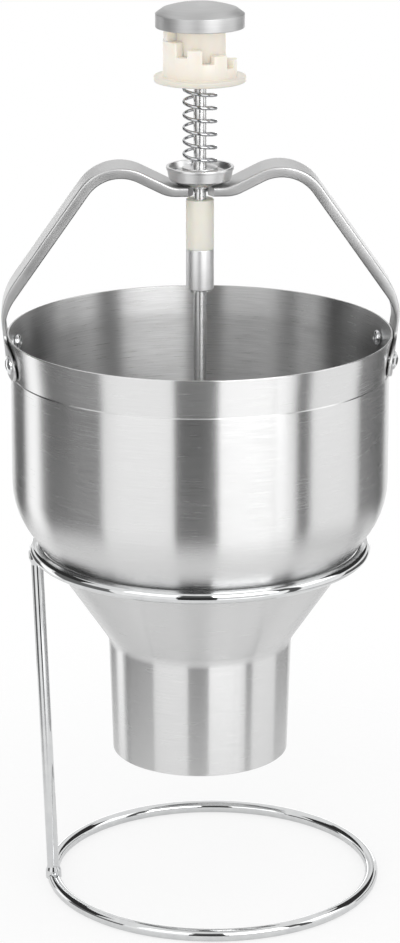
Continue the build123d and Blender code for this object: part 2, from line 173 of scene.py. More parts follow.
# %% [markdown]
# In an all-white room steel looks like grey paper. A product photographer therefore stands tall cards
# round the object: black flags give the dark upright bands and lit panels give the bright ones. The low
# row shows in the hopper's outside and the high row in its inside. The foot cards show where the bowl turns
# under, the rear ones in the bow's arms, and a grey ring overhead in what faces up. A card is a strip of a
# large cylinder. It shows in reflections alone, so it neither shades the object nor gets into any picture.
# Bearings are in degrees from the camera's direction, and grow to the right. Heights are in metres.

# %% Cards for the reflections
CARD_RADIUS = 2.0
CARD_STEP = 6.0
FLAG = 0.12
SOFT_FLAG = 0.18
BLACK_FLAG = 0.04
FOOT_FLAG = 0.6
REAR_FLAG = 0.8
PANEL = 0.92
SOFT_PANEL = 1.13
EDGE_PANEL = 1.28
FOOT_PANEL = 1.75
REAR_PANEL = 1.9
HIGH_SOFT_PANEL = 2.0
HIGH_PANEL = 4.8
STRIP = 1.5
SAMPLED_ABOVE = 1.5
CEILING = 0.45
CEILING_RIMS = ((0.7, 2.4), (0.05, 2.4))
FOOT = -0.55
SPLIT = 0.6
HIGH = 2.0

# Name, first and last bearing, low and high edge, brightness.
CARDS = (
    ("flag_rear_left", -152, -129, -0.65, 0.15, FLAG),
    ("strip_left", -127, -112, -0.95, 0.4, STRIP),
    ("flag_left", -109, -60, -0.95, SPLIT, SOFT_FLAG),
    ("panel_left", -59, -15, -1.1, SPLIT, SOFT_PANEL),
    ("flag_camera", -15, 11, -1.1, SPLIT, BLACK_FLAG),
    ("panel_right", 11.5, 45, FOOT, SPLIT, PANEL),
    ("panel_right_foot", 11.5, 45, -1.1, FOOT, FOOT_PANEL),
    ("panel_right_edge", 45, 58, -1.1, SPLIT, EDGE_PANEL),
    ("flag_right", 59, 68, -0.95, SPLIT, FLAG),
    ("panel_far_right", 69, 108, -0.95, 0.4, SOFT_PANEL),
    ("flag_rear_right", 109, 148, -0.65, 0.15, FLAG),
    ("foot_flag_right", 70, 150, -2.0, -0.95, FOOT_FLAG),
    ("panel_rear", 156, 204, -0.15, 0.4, REAR_PANEL),
    ("flag_rear", 156, 204, 0.4, 0.85, REAR_FLAG),
    ("high_flag_left", -152, -84, SPLIT, HIGH, BLACK_FLAG),
    ("high_panel_left", -51, -15, SPLIT, HIGH, HIGH_SOFT_PANEL),
    ("high_flag_camera", -13, 8, SPLIT, HIGH, FLAG),
    ("high_panel_right", 9, 52, SPLIT, HIGH, HIGH_PANEL),
    ("high_flag_narrow", 53, 68, SPLIT, HIGH, FLAG),
    ("high_panel_far_right", 70, 101, SPLIT, HIGH, HIGH_SOFT_PANEL),
    ("high_flag_right", 104, 160, SPLIT, HIGH, BLACK_FLAG),
)


def empty_material(name):
    """A material whose node tree is empty."""
    made = bpy.data.materials.new(name)
    made.use_nodes = True
    made.node_tree.nodes.clear()
    return made


def card(name, first, last, rims, brightness):
    """A strip of a surface round the object between two bearings. Each rim is a radius and a height."""
    shape = bmesh.new()
    edges = []
    steps = 2 + int(abs(last - first) / CARD_STEP)
    for k in range(steps + 1):
        angle = math.radians(first + (last - first) * k / steps) - turn
        across, ahead = math.sin(angle), -math.cos(angle)
        edge = [shape.verts.new((radius * across, radius * ahead, height)) for radius, height in rims]
        edges.append(edge)
    for edge, following in zip(edges, edges[1:]):
        shape.faces.new((*edge, *reversed(following)))
    mesh = bpy.data.meshes.new(name)
    shape.to_mesh(mesh)
    shape.free()
    paint = empty_material(name)
    glow = node(paint.node_tree, "ShaderNodeEmission", {"Strength": brightness})
    node(paint.node_tree, "ShaderNodeOutputMaterial", {"Surface": glow.outputs[0]})
    paint.cycles.emission_sampling = "AUTO" if brightness > SAMPLED_ABOVE else "NONE"
    mesh.materials.append(paint)
    made = place(name, mesh)
    made.visible_camera = False
    made.visible_diffuse = False
    made.visible_shadow = False


for card_name, first, last, low, high, brightness in CARDS:
    card(card_name, first, last, ((CARD_RADIUS, low), (CARD_RADIUS, high)), brightness)
card("flag_ceiling", -180, 180, CEILING_RIMS, CEILING)
print("cards:", len(CARDS) + 1)

# %% [markdown]
# The floor is a pale round table top. Towards its edge it fades out, so that the steel above reflects the
# cards and not an endless white plane, and the picture's background stays plain. One soft lamp, above
# the camera and to its left, gives the shadow.

# %% Floor and lamp
FLOOR_RADIUS = 0.9
FLOOR_SIDES = 96
FLOOR_SOLID = 0.14
FLOOR_GONE = 0.42
FLOOR_PAPER = 0.76
FLOOR_MIRRORED = 0.4
LAMP_SIZE = 1.2
LAMP_POWER = 3.0
LAMP_PLACE = (-0.4, -1.3, 1.15)
LAMP_TARGET = (0, 0, 0.25)


def new_finish(name):
    """An empty material with its tree and the point of the surface in metres."""
    made = empty_material(name)
    return made, made.node_tree, node(made.node_tree, "ShaderNodeTexCoord").outputs["Object"]


shape = bmesh.new()
bmesh.ops.create_circle(shape, cap_ends=True, segments=FLOOR_SIDES, radius=FLOOR_RADIUS)
floor_mesh = bpy.data.meshes.new("table_top")
shape.to_mesh(floor_mesh)
shape.free()
floor = place("table_top", floor_mesh)
table_white, tree, point = new_finish("table_white")
away = node(tree, "ShaderNodeVectorMath", {0: point}, operation="LENGTH").outputs["Value"]
fade = node(
    tree,
    "ShaderNodeMapRange",
    {"Value": away, "From Min": FLOOR_SOLID, "From Max": FLOOR_GONE},
    interpolation_type="SMOOTHSTEP",
).outputs["Result"]
white = node(tree, "ShaderNodeBsdfDiffuse", {"Color": linear("#FAFAFA")})
paper = node(tree, "ShaderNodeEmission", {"Strength": 1.0})
from_camera, mirrored = rays(tree)
seen = node(tree, "ShaderNodeMath", {0: from_camera, 1: FLOOR_PAPER}, operation="MULTIPLY").outputs[0]
glint = node(tree, "ShaderNodeMath", {0: mirrored, 1: FLOOR_MIRRORED}, operation="MULTIPLY").outputs[0]
share = node(tree, "ShaderNodeMath", {0: seen, 1: glint}, operation="MAXIMUM").outputs[0]
lit = node(tree, "ShaderNodeMixShader", {0: share, 1: white.outputs[0], 2: paper.outputs[0]})
clear = node(tree, "ShaderNodeBsdfTransparent")
top = node(tree, "ShaderNodeMixShader", {0: fade, 1: lit.outputs[0], 2: clear.outputs[0]})
node(tree, "ShaderNodeOutputMaterial", {"Surface": top.outputs[0]})
floor_mesh.materials.append(table_white)

lamp = bpy.data.lights.new("softbox", "AREA")
lamp.size = LAMP_SIZE
lamp.energy = LAMP_POWER
softbox = place("softbox", lamp)
softbox.location = LAMP_PLACE
softbox.visible_glossy = False
aim = Vector(LAMP_TARGET) - softbox.location
softbox.rotation_euler = aim.to_track_quat("-Z", "Y").to_euler()
print("floor and lamp ready")

# %% [markdown]
# ## Finishes
#
# Brushed stainless steel: the bowl was spun and then brushed round and round. The brush leaves fine level
# scratches, which stretch reflections up and down but not sideways, so the panels' edges stay clear.
# Anisotropy gives that, and a noise stretched along the scratches gives the grain that the eye sees.

# %% Grain, relief and metal
GRAIN_DETAIL = 3.0
QUARTER_TURN = 0.25
NOISE_USUAL = {"From Min": 0.3, "From Max": 0.7}
ROUGHNESS_SPREAD = 0.1
SCRATCH_STRENGTH = 0.5


def grain(tree, point, sizes, detail=GRAIN_DETAIL):
    """Noise whose grains have these sizes in millimetres along X, Y and Z."""
    scale = tuple(1 / (size * MM) for size in sizes)
    at = node(tree, "ShaderNodeMapping", {"Vector": point, "Scale": scale}).outputs["Vector"]
    return node(tree, "ShaderNodeTexNoise", {"Vector": at, "Scale": 1.0, "Detail": detail}).outputs["Fac"]


def toned(tree, noise, hex_dark, hex_light):
    """A colour that a noise moves between two."""
    share = node(tree, "ShaderNodeMapRange", {"Value": noise, **NOISE_USUAL}).outputs["Result"]
    tones = {"Factor": share, "A": linear(hex_dark), "B": linear(hex_light)}
    return node(tree, "ShaderNodeMix", tones, data_type="RGBA").outputs["Result"]


def relief(tree, noise, roughness, depth, strength):
    """Roughness and normal of a surface with a fine relief. Its depth is in millimetres."""
    least, most = roughness * (1 - ROUGHNESS_SPREAD), roughness * (1 + ROUGHNESS_SPREAD)
    levels = {"Value": noise, **NOISE_USUAL, "To Min": least, "To Max": most}
    heights = {"Height": noise, "Distance": depth * MM, "Strength": strength}
    return {
        "Roughness": node(tree, "ShaderNodeMapRange", levels).outputs["Result"],
        "Normal": node(tree, "ShaderNodeBump", heights).outputs["Normal"],
    }


def surfaced(tree, inputs):
    """End a material with a surface that has these inputs."""
    surface = node(tree, "ShaderNodeBsdfPrincipled", inputs)
    node(tree, "ShaderNodeOutputMaterial", {"Surface": surface.outputs[0]})


def metal(name, hex_dark, hex_light, roughness, grain_sizes, brushed, scratch_depth):
    """Metal with a grain: the scratches show in colour, roughness and height."""
    made, tree, point = new_finish(name)
    scratches = grain(tree, point, grain_sizes)
    inputs = {
        "Base Color": toned(tree, scratches, hex_dark, hex_light),
        "Metallic": 1.0,
        "Anisotropic": brushed,
        "Anisotropic Rotation": QUARTER_TURN,
        **relief(tree, scratches, roughness, scratch_depth, SCRATCH_STRENGTH),
    }
    surfaced(tree, inputs)
    return made


# %% Metals
# Drawn stainless sheet, brushed on a lathe: short level scratches. Real ones are about 0.05 mm apart. Here
# they are 0.4 mm apart, so that they show.
stainless = metal("brushed_stainless", "#D4D4D4", "#D8D8D8", 0.25, (16.0, 16.0, 0.4), 1.0, 0.0004)
# The same sheet inside, where the brush was coarser: deeper scratches, which spread the light further. Its
# colours are darker than outside: a painted shade for the bowl's inside.
coarse_shaded_stainless = metal(
    "brushed_stainless_inside", "#BEBEBE", "#CFCFCF", 0.3, (14.0, 14.0, 0.35), 1.0, 0.042
)
# Bright chromium plate on steel wire: a mirror with hardly any grain.
chrome = metal("chromed_wire", "#D0D1D2", "#D9DADA", 0.05, (6.0, 6.0, 6.0), 0.0, 0.001)
# Forged aluminium, ground along the bar to a satin: faint streaks 0.8 mm wide run from end to end.
aluminium = metal("satin_aluminium", "#C3C3C3", "#CDCDCD", 0.39, (20.0, 0.8, 20.0), 0.0, 0.0)
# Rivet wire, upset cold: smoother where the tool pressed it.
rivet_metal = metal("rivet_aluminium", "#D6D7D8", "#DEDFE0", 0.17, (1.5, 1.5, 1.5), 0.0, 0.003)
# Turned aluminium cup, polished: fine circles from the tool.
cup_metal = metal("turned_cup", "#DADADA", "#E4E4E4", 0.34, (12.0, 12.0, 0.4), 0.1, 0.003)
# Ground and polished steel bar: a clear upright reflection, drawn out along the bar.
polished_steel = metal("polished_steel", "#E2E2E2", "#EAEAEA", 0.24, (8.0, 8.0, 0.5), 1.0, 0.001)
# Drawn steel tube, duller than the bar.
tube_steel = metal("drawn_tube", "#F2F2F2", "#F6F6F6", 0.44, (8.0, 8.0, 0.5), 0.3, 0.0)
# Hard-drawn spring wire, nickel plated: dark and bright lines side by side.
spring_metal = metal("spring_wire", "#B0B1B3", "#BCBDBF", 0.06, (2.0, 2.0, 2.0), 0.0, 0.002)
# Turned and satin-finished thumb cap: a soft, even grey.
cap_metal = metal("satin_cap", "#C1C1C1", "#CBCBCB", 0.5, (20.0, 20.0, 0.7), 0.3, 0.006)
print("metals:", stainless.name, chrome.name, aluminium.name, polished_steel.name, cap_metal.name)

# %% [markdown]
# Cream acetal, moulded: light goes a little way into it, so edges and thin walls glow warm and shadows
# are soft. Subsurface scattering does that, to a depth of a few millimetres. The dial's flange is so thin
# that light gets through, which leaves it greyer: beyond the drum's radius the colour turns to a painted
# shade that stands for that. The mould leaves a faint grain, and the seal's silicone is the same idea,
# softer and duller.

# %% Plastic finishes
CLOUD_SIZE = 14.0
SKIN_SIZE = 0.7
SKIN_DETAIL = 2.0
SKIN_DEPTH = 0.01
SKIN_STRENGTH = 0.4
PLASTIC_IOR = 1.48
GLOW_REACH = (1.0, 0.7, 0.45)
THIN_FROM = 18.6
THIN_TO = 21.5


def painted_thin_shade(tree, point, colour, hex_thin_shade):
    """The colour, changed to a painted shade far from the Z axis, where the thin moulding lets light
    through.
    """
    level = node(tree, "ShaderNodeVectorMath", {0: point, 1: (1, 1, 0)}, operation="MULTIPLY").outputs[0]
    away = node(tree, "ShaderNodeVectorMath", {0: level}, operation="LENGTH").outputs["Value"]
    edges = {"Value": away, "From Min": THIN_FROM * MM, "From Max": THIN_TO * MM}
    thin_shade = node(tree, "ShaderNodeMapRange", edges).outputs["Result"]
    tones = {"Factor": thin_shade, "A": colour, "B": linear(hex_thin_shade)}
    return node(tree, "ShaderNodeMix", tones, data_type="RGBA").outputs["Result"]


def moulded(name, hex_dark, hex_light, roughness, depth, glow, hex_thin_shade=None):
    """Moulded plastic or silicone that light enters to a depth in millimetres."""
    made, tree, point = new_finish(name)
    colour = toned(tree, grain(tree, point, (CLOUD_SIZE,) * 3, SKIN_DETAIL), hex_dark, hex_light)
    # A painted shade where the moulding is thin, standing for the light that gets through it.
    if hex_thin_shade:
        colour = painted_thin_shade(tree, point, colour, hex_thin_shade)
    skin = grain(tree, point, (SKIN_SIZE,) * 3, SKIN_DETAIL)
    inputs = {
        "Base Color": colour,
        "IOR": PLASTIC_IOR,
        "Subsurface Weight": glow,
        "Subsurface Radius": GLOW_REACH,
        "Subsurface Scale": depth * MM,
        **relief(tree, skin, roughness, SKIN_DEPTH, SKIN_STRENGTH),
    }
    surfaced(tree, inputs)
    return made


# Acetal, for the dial and the knob's core: a warm white with a soft gleam, and a greyer painted shade on
# the thin flange.
cream_plastic = moulded("cream_acetal", "#F2EBDF", "#F6F0E6", 0.36, 3.0, 0.5, "#E2DFD6")
# Natural nylon, for the sleeve: lighter and yellower.
sleeve_plastic = moulded("natural_nylon", "#FDF5E6", "#FFF9EE", 0.36, 2.5, 0.5)
# Silicone, for the seal: a dull grey-white.
silicone = moulded("seal_silicone", "#D9D6CE", "#E2DFD8", 0.55, 2.5, 0.3)
print("plastics:", cream_plastic.name, sleeve_plastic.name, silicone.name)

# %% [markdown]
# ## Round pieces
#
# Most of the dispenser is turned or drawn, so one tool makes most of it: an outline of radius and height,
# spun about the Z axis. A corner of an outline is never quite sharp on a real piece. The outline's corners
# are given with a radius, and `rounded` swaps each for a short arc.

# %% Outlines
ARC_STEP = 7.0
FEWEST_STEPS = 3


def rounded(corners, closed=True, step=ARC_STEP):
    """Points of an outline whose corners, given as (a, b, radius), become arcs."""
    points = []
    last = len(corners) - 1
    for index, (a, b, radius) in enumerate(corners):
        here = Vector((a, b))
        if radius <= 0 or (not closed and index in (0, last)):
            points.append(here)
            continue
        back = (Vector(corners[index - 1][:2]) - here).normalized()
        ahead = (Vector(corners[(index + 1) % len(corners)][:2]) - here).normalized()
        half = back.angle(ahead) / 2
        centre = here + (back + ahead).normalized() * (radius / math.sin(half))
        start = here + back * (radius / math.tan(half)) - centre
        end = here + ahead * (radius / math.tan(half)) - centre
        first = math.atan2(start.y, start.x)
        swing = math.atan2(end.y, end.x) - first
        swing = (swing + math.pi) % (2 * math.pi) - math.pi
        steps = max(FEWEST_STEPS, math.ceil(abs(swing) / math.radians(step)))
        for k in range(steps + 1):
            angle = first + swing * k / steps
            points.append(centre + Vector((math.cos(angle), math.sin(angle))) * radius)
    return points


# %% Lathe
LATHE_SIDES = 128
SHARP = 35.0
MERGE = 1e-7
POLE = 1e-6


def new_piece(name, shape, sharp=SHARP):
    """A smooth-shaded object from a bmesh. Edges sharper than an angle stay crisp."""
    bmesh.ops.remove_doubles(shape, verts=shape.verts, dist=MERGE)
    bmesh.ops.recalc_face_normals(shape, faces=shape.faces)
    mesh = bpy.data.meshes.new(name)
    shape.to_mesh(mesh)
    shape.free()
    mesh.shade_smooth()
    mesh.set_sharp_from_angle(angle=math.radians(sharp))
    return place(name, mesh)


def polar(shape, angle, radius, height):
    """A vertex at an angle in radians about Z, with its radius and height in millimetres."""
    return shape.verts.new((radius * MM * math.cos(angle), radius * MM * math.sin(angle), height * MM))


def join(shape, ring, following):
    """Faces between two rings. A ring of one vertex is a pole."""
    count = max(len(ring), len(following))
    if count == 1:
        return
    for k in range(count):
        corners = [ring[k % len(ring)], ring[(k + 1) % len(ring)]]
        corners += [following[(k + 1) % len(following)], following[k % len(following)]]
        shape.faces.new(dict.fromkeys(corners))


def spin(shape, outline, segments=LATHE_SIDES):
    """Add the surface of an outline, in millimetres, spun about Z."""
    rings = []
    for radius, height in outline:
        count = segments if radius > POLE else 1
        rings.append([polar(shape, 2 * math.pi * k / count, radius, height) for k in range(count)])
    for ring, following in zip(rings, rings[1:] + rings[:1]):
        join(shape, ring, following)


def turned(name, corners, segments=LATHE_SIDES):
    """A piece from one outline, spun."""
    shape = bmesh.new()
    spin(shape, rounded(corners), segments)
    return new_piece(name, shape)


# %% Materials, bodies and CAD nodes
def line_inside(piece, material):
    """Give the faces that look towards the Z axis a material of their own."""
    piece.data.materials.append(material)
    for face in piece.data.polygons:
        if face.normal.xy.dot(face.center.xy) < 0:
            face.material_index = 1


def finish(piece, body, nodes, material):
    """Give a piece its material and its body, and hide the CAD nodes that it stands for."""
    piece.data.materials.clear()
    piece.data.materials.append(material)
    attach(piece, body)
    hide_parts(*nodes)
    print(piece.name, "on", body, "with", len(piece.data.polygons), "faces")


# %% [markdown]
# ## The hopper
#
# The bowl is deep-drawn sheet: a slightly flared rim band, a crease under it, a wall, a large shoulder and
# a cone. The outlet is a second piece, a funnel welded to the cone where the stand's ring hides the seam.
# Both are one outline each, with the sheet's thickness between the outer and the inner line. A surface with
# a Solidify modifier would do too, but an outline gives each edge a rounding of its own.

# %% Hopper bowl and outlet
SHEET = 1.0
CONE_ANGLE = math.radians(34)
SHOULDER = 44.0
BAND_HEIGHT = 19.1
BAND_STEP = 0.4
RIM_FLARE = 1.9
CREASE = 0.45
NECK_RADIUS = 47.1
NECK_FILLET = 11.0
MOUTH_RADIUS = 45.2
SHEET_EDGE = 0.35
INSIDE_SWEEP = 60.0
BOWL_SIDES = 256

rim_radius = span("hopper_bowl", 0)[1]
rim_z = span("hopper_bowl", 2)[1]
seat = Vector((span("outlet_funnel", 0)[1], span("hopper_bowl", 2)[0]))
mouth_z = span("outlet_funnel", 2)[0]
band_radius = rim_radius - RIM_FLARE
bowl_radius = band_radius + BAND_STEP
band_z = rim_z - BAND_HEIGHT


def on_cone(radius, inset=0.0):
    """The cone's point at a radius, on its outer face or inset into the sheet."""
    height = seat.y + (radius - seat.x) / math.tan(CONE_ANGLE) + inset / math.sin(CONE_ANGLE)
    return radius, height


corner = on_cone(bowl_radius)
inner_corner = on_cone(bowl_radius - SHEET, SHEET)
neck = on_cone(NECK_RADIUS)
taper = math.atan2(NECK_RADIUS - MOUTH_RADIUS, neck[1] - mouth_z)
slants = 1 / math.cos(CONE_ANGLE) - 1 / math.cos(taper)
inner_lift = SHEET * slants / (math.tan(CONE_ANGLE) - math.tan(taper))
inner_neck = (NECK_RADIUS - SHEET / math.cos(taper) + inner_lift * math.tan(taper), neck[1] + inner_lift)
inner_seat = (seat.x - SHEET * math.cos(CONE_ANGLE), seat.y + SHEET * math.sin(CONE_ANGLE))

smooth_z = rim_z - (rim_radius - bowl_radius) * BAND_HEIGHT / RIM_FLARE
bowl = turned(
    "hopper_bowl_sheet",
    [
        (rim_radius, rim_z, SHEET_EDGE),
        (band_radius, band_z, CREASE / 3),
        (bowl_radius, band_z - CREASE, CREASE / 3),
        (*corner, SHOULDER),
        (*seat, 0),
        (*inner_seat, 0),
        (*inner_corner, SHOULDER - SHEET),
        (bowl_radius - SHEET, smooth_z, INSIDE_SWEEP),
        (rim_radius - SHEET, rim_z, SHEET_EDGE),
    ],
    segments=BOWL_SIDES,
)
finish(bowl, "hopper", ["hopper_bowl"], stainless)
# The bowl's inside takes the darker copy of the sheet, a painted shade.
line_inside(bowl, coarse_shaded_stainless)
outlet = turned(
    "outlet_funnel_sheet",
    [
        (*seat, 0),
        (*neck, NECK_FILLET),
        (MOUTH_RADIUS, mouth_z, SHEET_EDGE),
        (MOUTH_RADIUS - SHEET / math.cos(taper), mouth_z, SHEET_EDGE),
        (*inner_neck, NECK_FILLET + SHEET),
        (*inner_seat, 0),
    ],
    segments=BOWL_SIDES,
)
finish(outlet, "hopper", ["outlet_funnel"], stainless)
# The outlet's inside takes the same painted shade.
line_inside(outlet, coarse_shaded_stainless)

# %% [markdown]
# ## The wire stand
#
# Two rings and a straight upright of round wire, welded and then chromed. A wire is a path with a round
# section, which is what the Curve to Mesh node makes. One node tree with two inputs, the ring's radius
# and the wire's, makes both rings. A torus would do for a ring, but the same node also makes the upright
# and the spring.


# %% Node trees
def node_group(name, **inputs):
    """A geometry node tree with named inputs, each of a socket kind. Returns the tree and its inputs."""
    group = bpy.data.node_groups.new(name, "GeometryNodeTree")
    for label, kind in inputs.items():
        group.interface.new_socket(label, in_out="INPUT", socket_type="NodeSocket" + kind)
    group.interface.new_socket("Geometry", in_out="OUTPUT", socket_type="NodeSocketGeometry")
    return group, node(group, "NodeGroupInput").outputs


def close_group(group, geometry, material):
    """End a tree with real geometry, shaded smooth, with its material. End a tree the
    way the export needs it: real geometry with its material.
    """
    smooth = node(group, "GeometryNodeSetShadeSmooth", {"Geometry": geometry})
    real = node(group, "GeometryNodeRealizeInstances", {"Geometry": smooth.outputs["Geometry"]})
    bare = {"Geometry": real.outputs["Geometry"], "Material": material}
    coat = node(group, "GeometryNodeSetMaterial", bare)
    node(group, "NodeGroupOutput", {"Geometry": coat.outputs["Geometry"]})


def grow(name, group, **sizes):
    """Run a node tree with these inputs, lengths in metres, and keep its result as a plain mesh."""
    seed = place(name + "_seed", bpy.data.meshes.new(name + "_seed"))
    modifier = seed.modifiers.new("grow", "NODES")
    modifier.node_group = group
    for item in group.interface.items_tree:
        if item.in_out == "INPUT":
            modifier[item.identifier] = sizes[item.name]
    return plain_copy(name, seed)


def plain_copy(name, source):
    """A new object with the source's mesh after its modifiers. The source is removed."""
    graph = bpy.context.evaluated_depsgraph_get()
    mesh = bpy.data.meshes.new_from_object(source.evaluated_get(graph))
    bpy.data.objects.remove(source)
    mesh.name = name
    return place(name, mesh)


# %% Stand rings
RING_SIDES = 192
WIRE_SIDES = 24


def wire_on(group, curve, sides, radius, more=None):
    """The mesh of a round wire along a curve."""
    size = {"Resolution": sides, "Radius": radius}
    section = node(group, "GeometryNodeCurvePrimitiveCircle", size).outputs["Curve"]
    inputs = {"Curve": curve, "Profile Curve": section, **(more or {})}
    return node(group, "GeometryNodeCurveToMesh", inputs).outputs["Mesh"]


group, given = node_group("wire_ring", ring_radius="Float", wire_radius="Float")
size = {"Resolution": RING_SIDES, "Radius": given["ring_radius"]}
path = node(group, "GeometryNodeCurvePrimitiveCircle", size).outputs["Curve"]
close_group(group, wire_on(group, path, WIRE_SIDES, given["wire_radius"]), chrome)

ring_middle = {}
ring_radius = {}
for ring_node in ("stand_base_ring", "stand_top_ring"):
    low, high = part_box(ring_node)
    wire_radius = (high.z - low.z) / 2
    ring_middle[ring_node] = (low + high) / 2
    ring_radius[ring_node] = (high.x - low.x) / 2 - wire_radius
    ring = grow(ring_node + "_wire", group, ring_radius=ring_radius[ring_node], wire_radius=wire_radius)
    ring.data.transform(Matrix.Translation(ring_middle[ring_node]))
    finish(ring, "stand", [ring_node], chrome)

# %% [markdown]
# The upright is the same idea along a straight line. Its ends run into the rings' wire, and the weld
# swells there. The tree makes the swelling from the distance to the nearer end.

# %% Stand upright with its welds
UPRIGHT_WIRE = 6.2
WELD_START = 3.4
WELD_END = 7.0
WELD_SWELL = 1.32
UPRIGHT_STEPS = 160

group, given = node_group(
    "welded_upright",
    foot="Vector",
    head="Vector",
    wire_radius="Float",
    weld_start="Float",
    weld_end="Float",
)
line = node(group, "GeometryNodeCurvePrimitiveLine", {"Start": given["foot"], "End": given["head"]})
fine = node(group, "GeometryNodeResampleCurve", {"Curve": line.outputs["Curve"], "Count": UPRIGHT_STEPS})
along = node(group, "GeometryNodeSplineParameter").outputs["Length"]
whole = node(group, "GeometryNodeSplineLength").outputs["Length"]
rest = node(group, "ShaderNodeMath", {0: whole, 1: along}, operation="SUBTRACT").outputs[0]
nearer = node(group, "ShaderNodeMath", {0: along, 1: rest}, operation="MINIMUM").outputs[0]
swell = node(
    group,
    "ShaderNodeMapRange",
    {
        "Value": nearer,
        "From Min": given["weld_start"],
        "From Max": given["weld_end"],
        "To Min": WELD_SWELL,
        "To Max": 1.0,
    },
    interpolation_type="SMOOTHERSTEP",
).outputs["Result"]
swollen = node(
    group, "GeometryNodeSetCurveRadius", {"Curve": fine.outputs["Curve"], "Radius": swell}
).outputs["Curve"]
wire = wire_on(group, swollen, WIRE_SIDES, given["wire_radius"], {"Scale": swell, "Fill Caps": True})
close_group(group, wire, chrome)

outward = -ring_middle["stand_base_ring"].xy.normalized()
upright = grow(
    "stand_upright_wire",
    group,
    foot=ring_middle["stand_base_ring"] + outward.to_3d() * ring_radius["stand_base_ring"],
    head=ring_middle["stand_top_ring"] + outward.to_3d() * ring_radius["stand_top_ring"],
    wire_radius=UPRIGHT_WIRE / 2 * MM,
    weld_start=WELD_START * MM,
    weld_end=WELD_END * MM,
)
finish(upright, "stand", ["stand_upright"], chrome)

# %% [markdown]
# ## The bow handle
#
# The bow is a forged aluminium bar, bent from a dipped bridge over two crests down to the rim, where each
# end is hammered out to a thin fan that lies on the bowl. Its section changes all the way: wide and flat at
# the bridge, thicker along the arms, thin at the lugs. So it is a loft: a row of rounded rectangles along
# two lines seen from the front, the bar's inner line and its outer one.

# %% Bow lines
STOP_GAP = 3.2
BRIDGE_THICKNESS = 4.5
BRIDGE_FLAT = 15.0
BAR_HALF = 12.0
RISE = 26.5
ARM = -54.8
ARM_THICKNESS = 5.4
VALLEY_RADIUS = 15.0
CREST_RADIUS = 22.0
ELBOW_OVER_RIM = 11.1
ELBOW_RADIUS = 26.0
ELBOW_OUTER_RADIUS = 34.0
LUG_THICKNESS = 1.6
LUG_GAP = 0.3
LUG_BEND = 105.0
LUG_TOP = 4.0
LUG_STATION = 0.45
ARM_STATION = 1.6
BOW_STEP = 4.0

bridge_bottom = span("stop_sleeve", 2)[1] + STOP_GAP
bridge_top = bridge_bottom + BRIDGE_THICKNESS
lug_foot = span("handle", 2)[0]


def heading(degrees):
    """A unit vector that points this way, seen from the front."""
    return Vector((math.cos(math.radians(degrees)), math.sin(math.radians(degrees))))


def crossing(point_a, degrees_a, point_b, degrees_b):
    """Where two lines meet, each given by a point and a heading."""
    u, v, gap = heading(degrees_a), heading(degrees_b), point_b - point_a
    return point_a + u * (gap.cross(v) / u.cross(v))


def band_face(height):
    """Outer radius of the flared rim band at a height."""
    return rim_radius - (rim_z - height) * RIM_FLARE / BAND_HEIGHT


def lug_face(height):
    """Where the lug's inner face crosses the X axis at a height."""
    return band_face(height) + LUG_GAP


lug_lean = math.degrees(math.atan2(RIM_FLARE, BAND_HEIGHT))
lug_axis = lug_face(rim_z) - LUG_BEND
elbow_z = rim_z + ELBOW_OVER_RIM
elbow_in = Vector((lug_face(elbow_z), elbow_z))
bridge_end = Vector((BRIDGE_FLAT, (bridge_bottom + bridge_top) / 2))
arm_middle = elbow_in + heading(ARM + 90) * (ARM_THICKNESS / 2)
crest = crossing(bridge_end, RISE, arm_middle, ARM)


def bow_line(side, elbow_side, elbow_radius):
    """Half of the bow's inner (-1) or outer (+1) line, as corners with radii."""
    half_bridge = Vector((0, side * BRIDGE_THICKNESS / 2))
    half_rise = heading(RISE + 90) * (side * ARM_THICKNESS / 2)
    half_arm = heading(ARM + 90) * (side * ARM_THICKNESS / 2)
    lug = Vector((elbow_side, 0))
    valley = crossing(bridge_end + half_bridge, 0, bridge_end + half_rise, RISE)
    top = crossing(crest + half_rise, RISE, crest + half_arm, ARM)
    elbow = crossing(crest + half_arm, ARM, elbow_in + lug, -90 - lug_lean)
    foot = Vector((lug_face(lug_foot), lug_foot)) + lug
    return [
        (0, bridge_end.y + half_bridge.y, 0),
        (*valley, VALLEY_RADIUS - side * ARM_THICKNESS / 2),
        (*top, CREST_RADIUS + side * ARM_THICKNESS / 2),
        (*elbow, elbow_radius),
        (*foot, 0),
    ]


def refined(pairs):
    """Pairs of points with more put between them: close ones on the lug, where the width changes fast."""
    made = [pairs[0]]
    for (a, b), (c, d) in zip(pairs, pairs[1:]):
        longest = LUG_STATION if c.y < rim_z + LUG_TOP else ARM_STATION
        count = math.ceil((c - a).length / longest)
        made += [(a.lerp(c, k / count), b.lerp(d, k / count)) for k in range(1, count + 1)]
    return made


inner_line = rounded(bow_line(-1, 0.0, ELBOW_RADIUS), closed=False, step=BOW_STEP)
outer_line = rounded(bow_line(1, LUG_THICKNESS, ELBOW_OUTER_RADIUS), closed=False, step=BOW_STEP)
stations = refined(list(zip(inner_line, outer_line)))
print("half bow:", len(stations), "stations, crest at", [round(v, 1) for v in crest])

# %% [markdown]
# The bar has one width from end to end. Below the elbow the lug widens to an ear: a quarter circle at its
# neck, then an arc out to the foot, and round lower corners. The ear also bends along the bowl: a point off
# its middle moves inwards by the arc's rise.

# %% Bow sections
BAR_EDGE = 1.0
LUG_NECK = 4.0
LUG_HALF = 27.0
LUG_CORNER = 6.0
WRAP_FADE = 10.0
EDGE_SHARE = 0.4
ACROSS = 14
EDGE_STEPS = 4

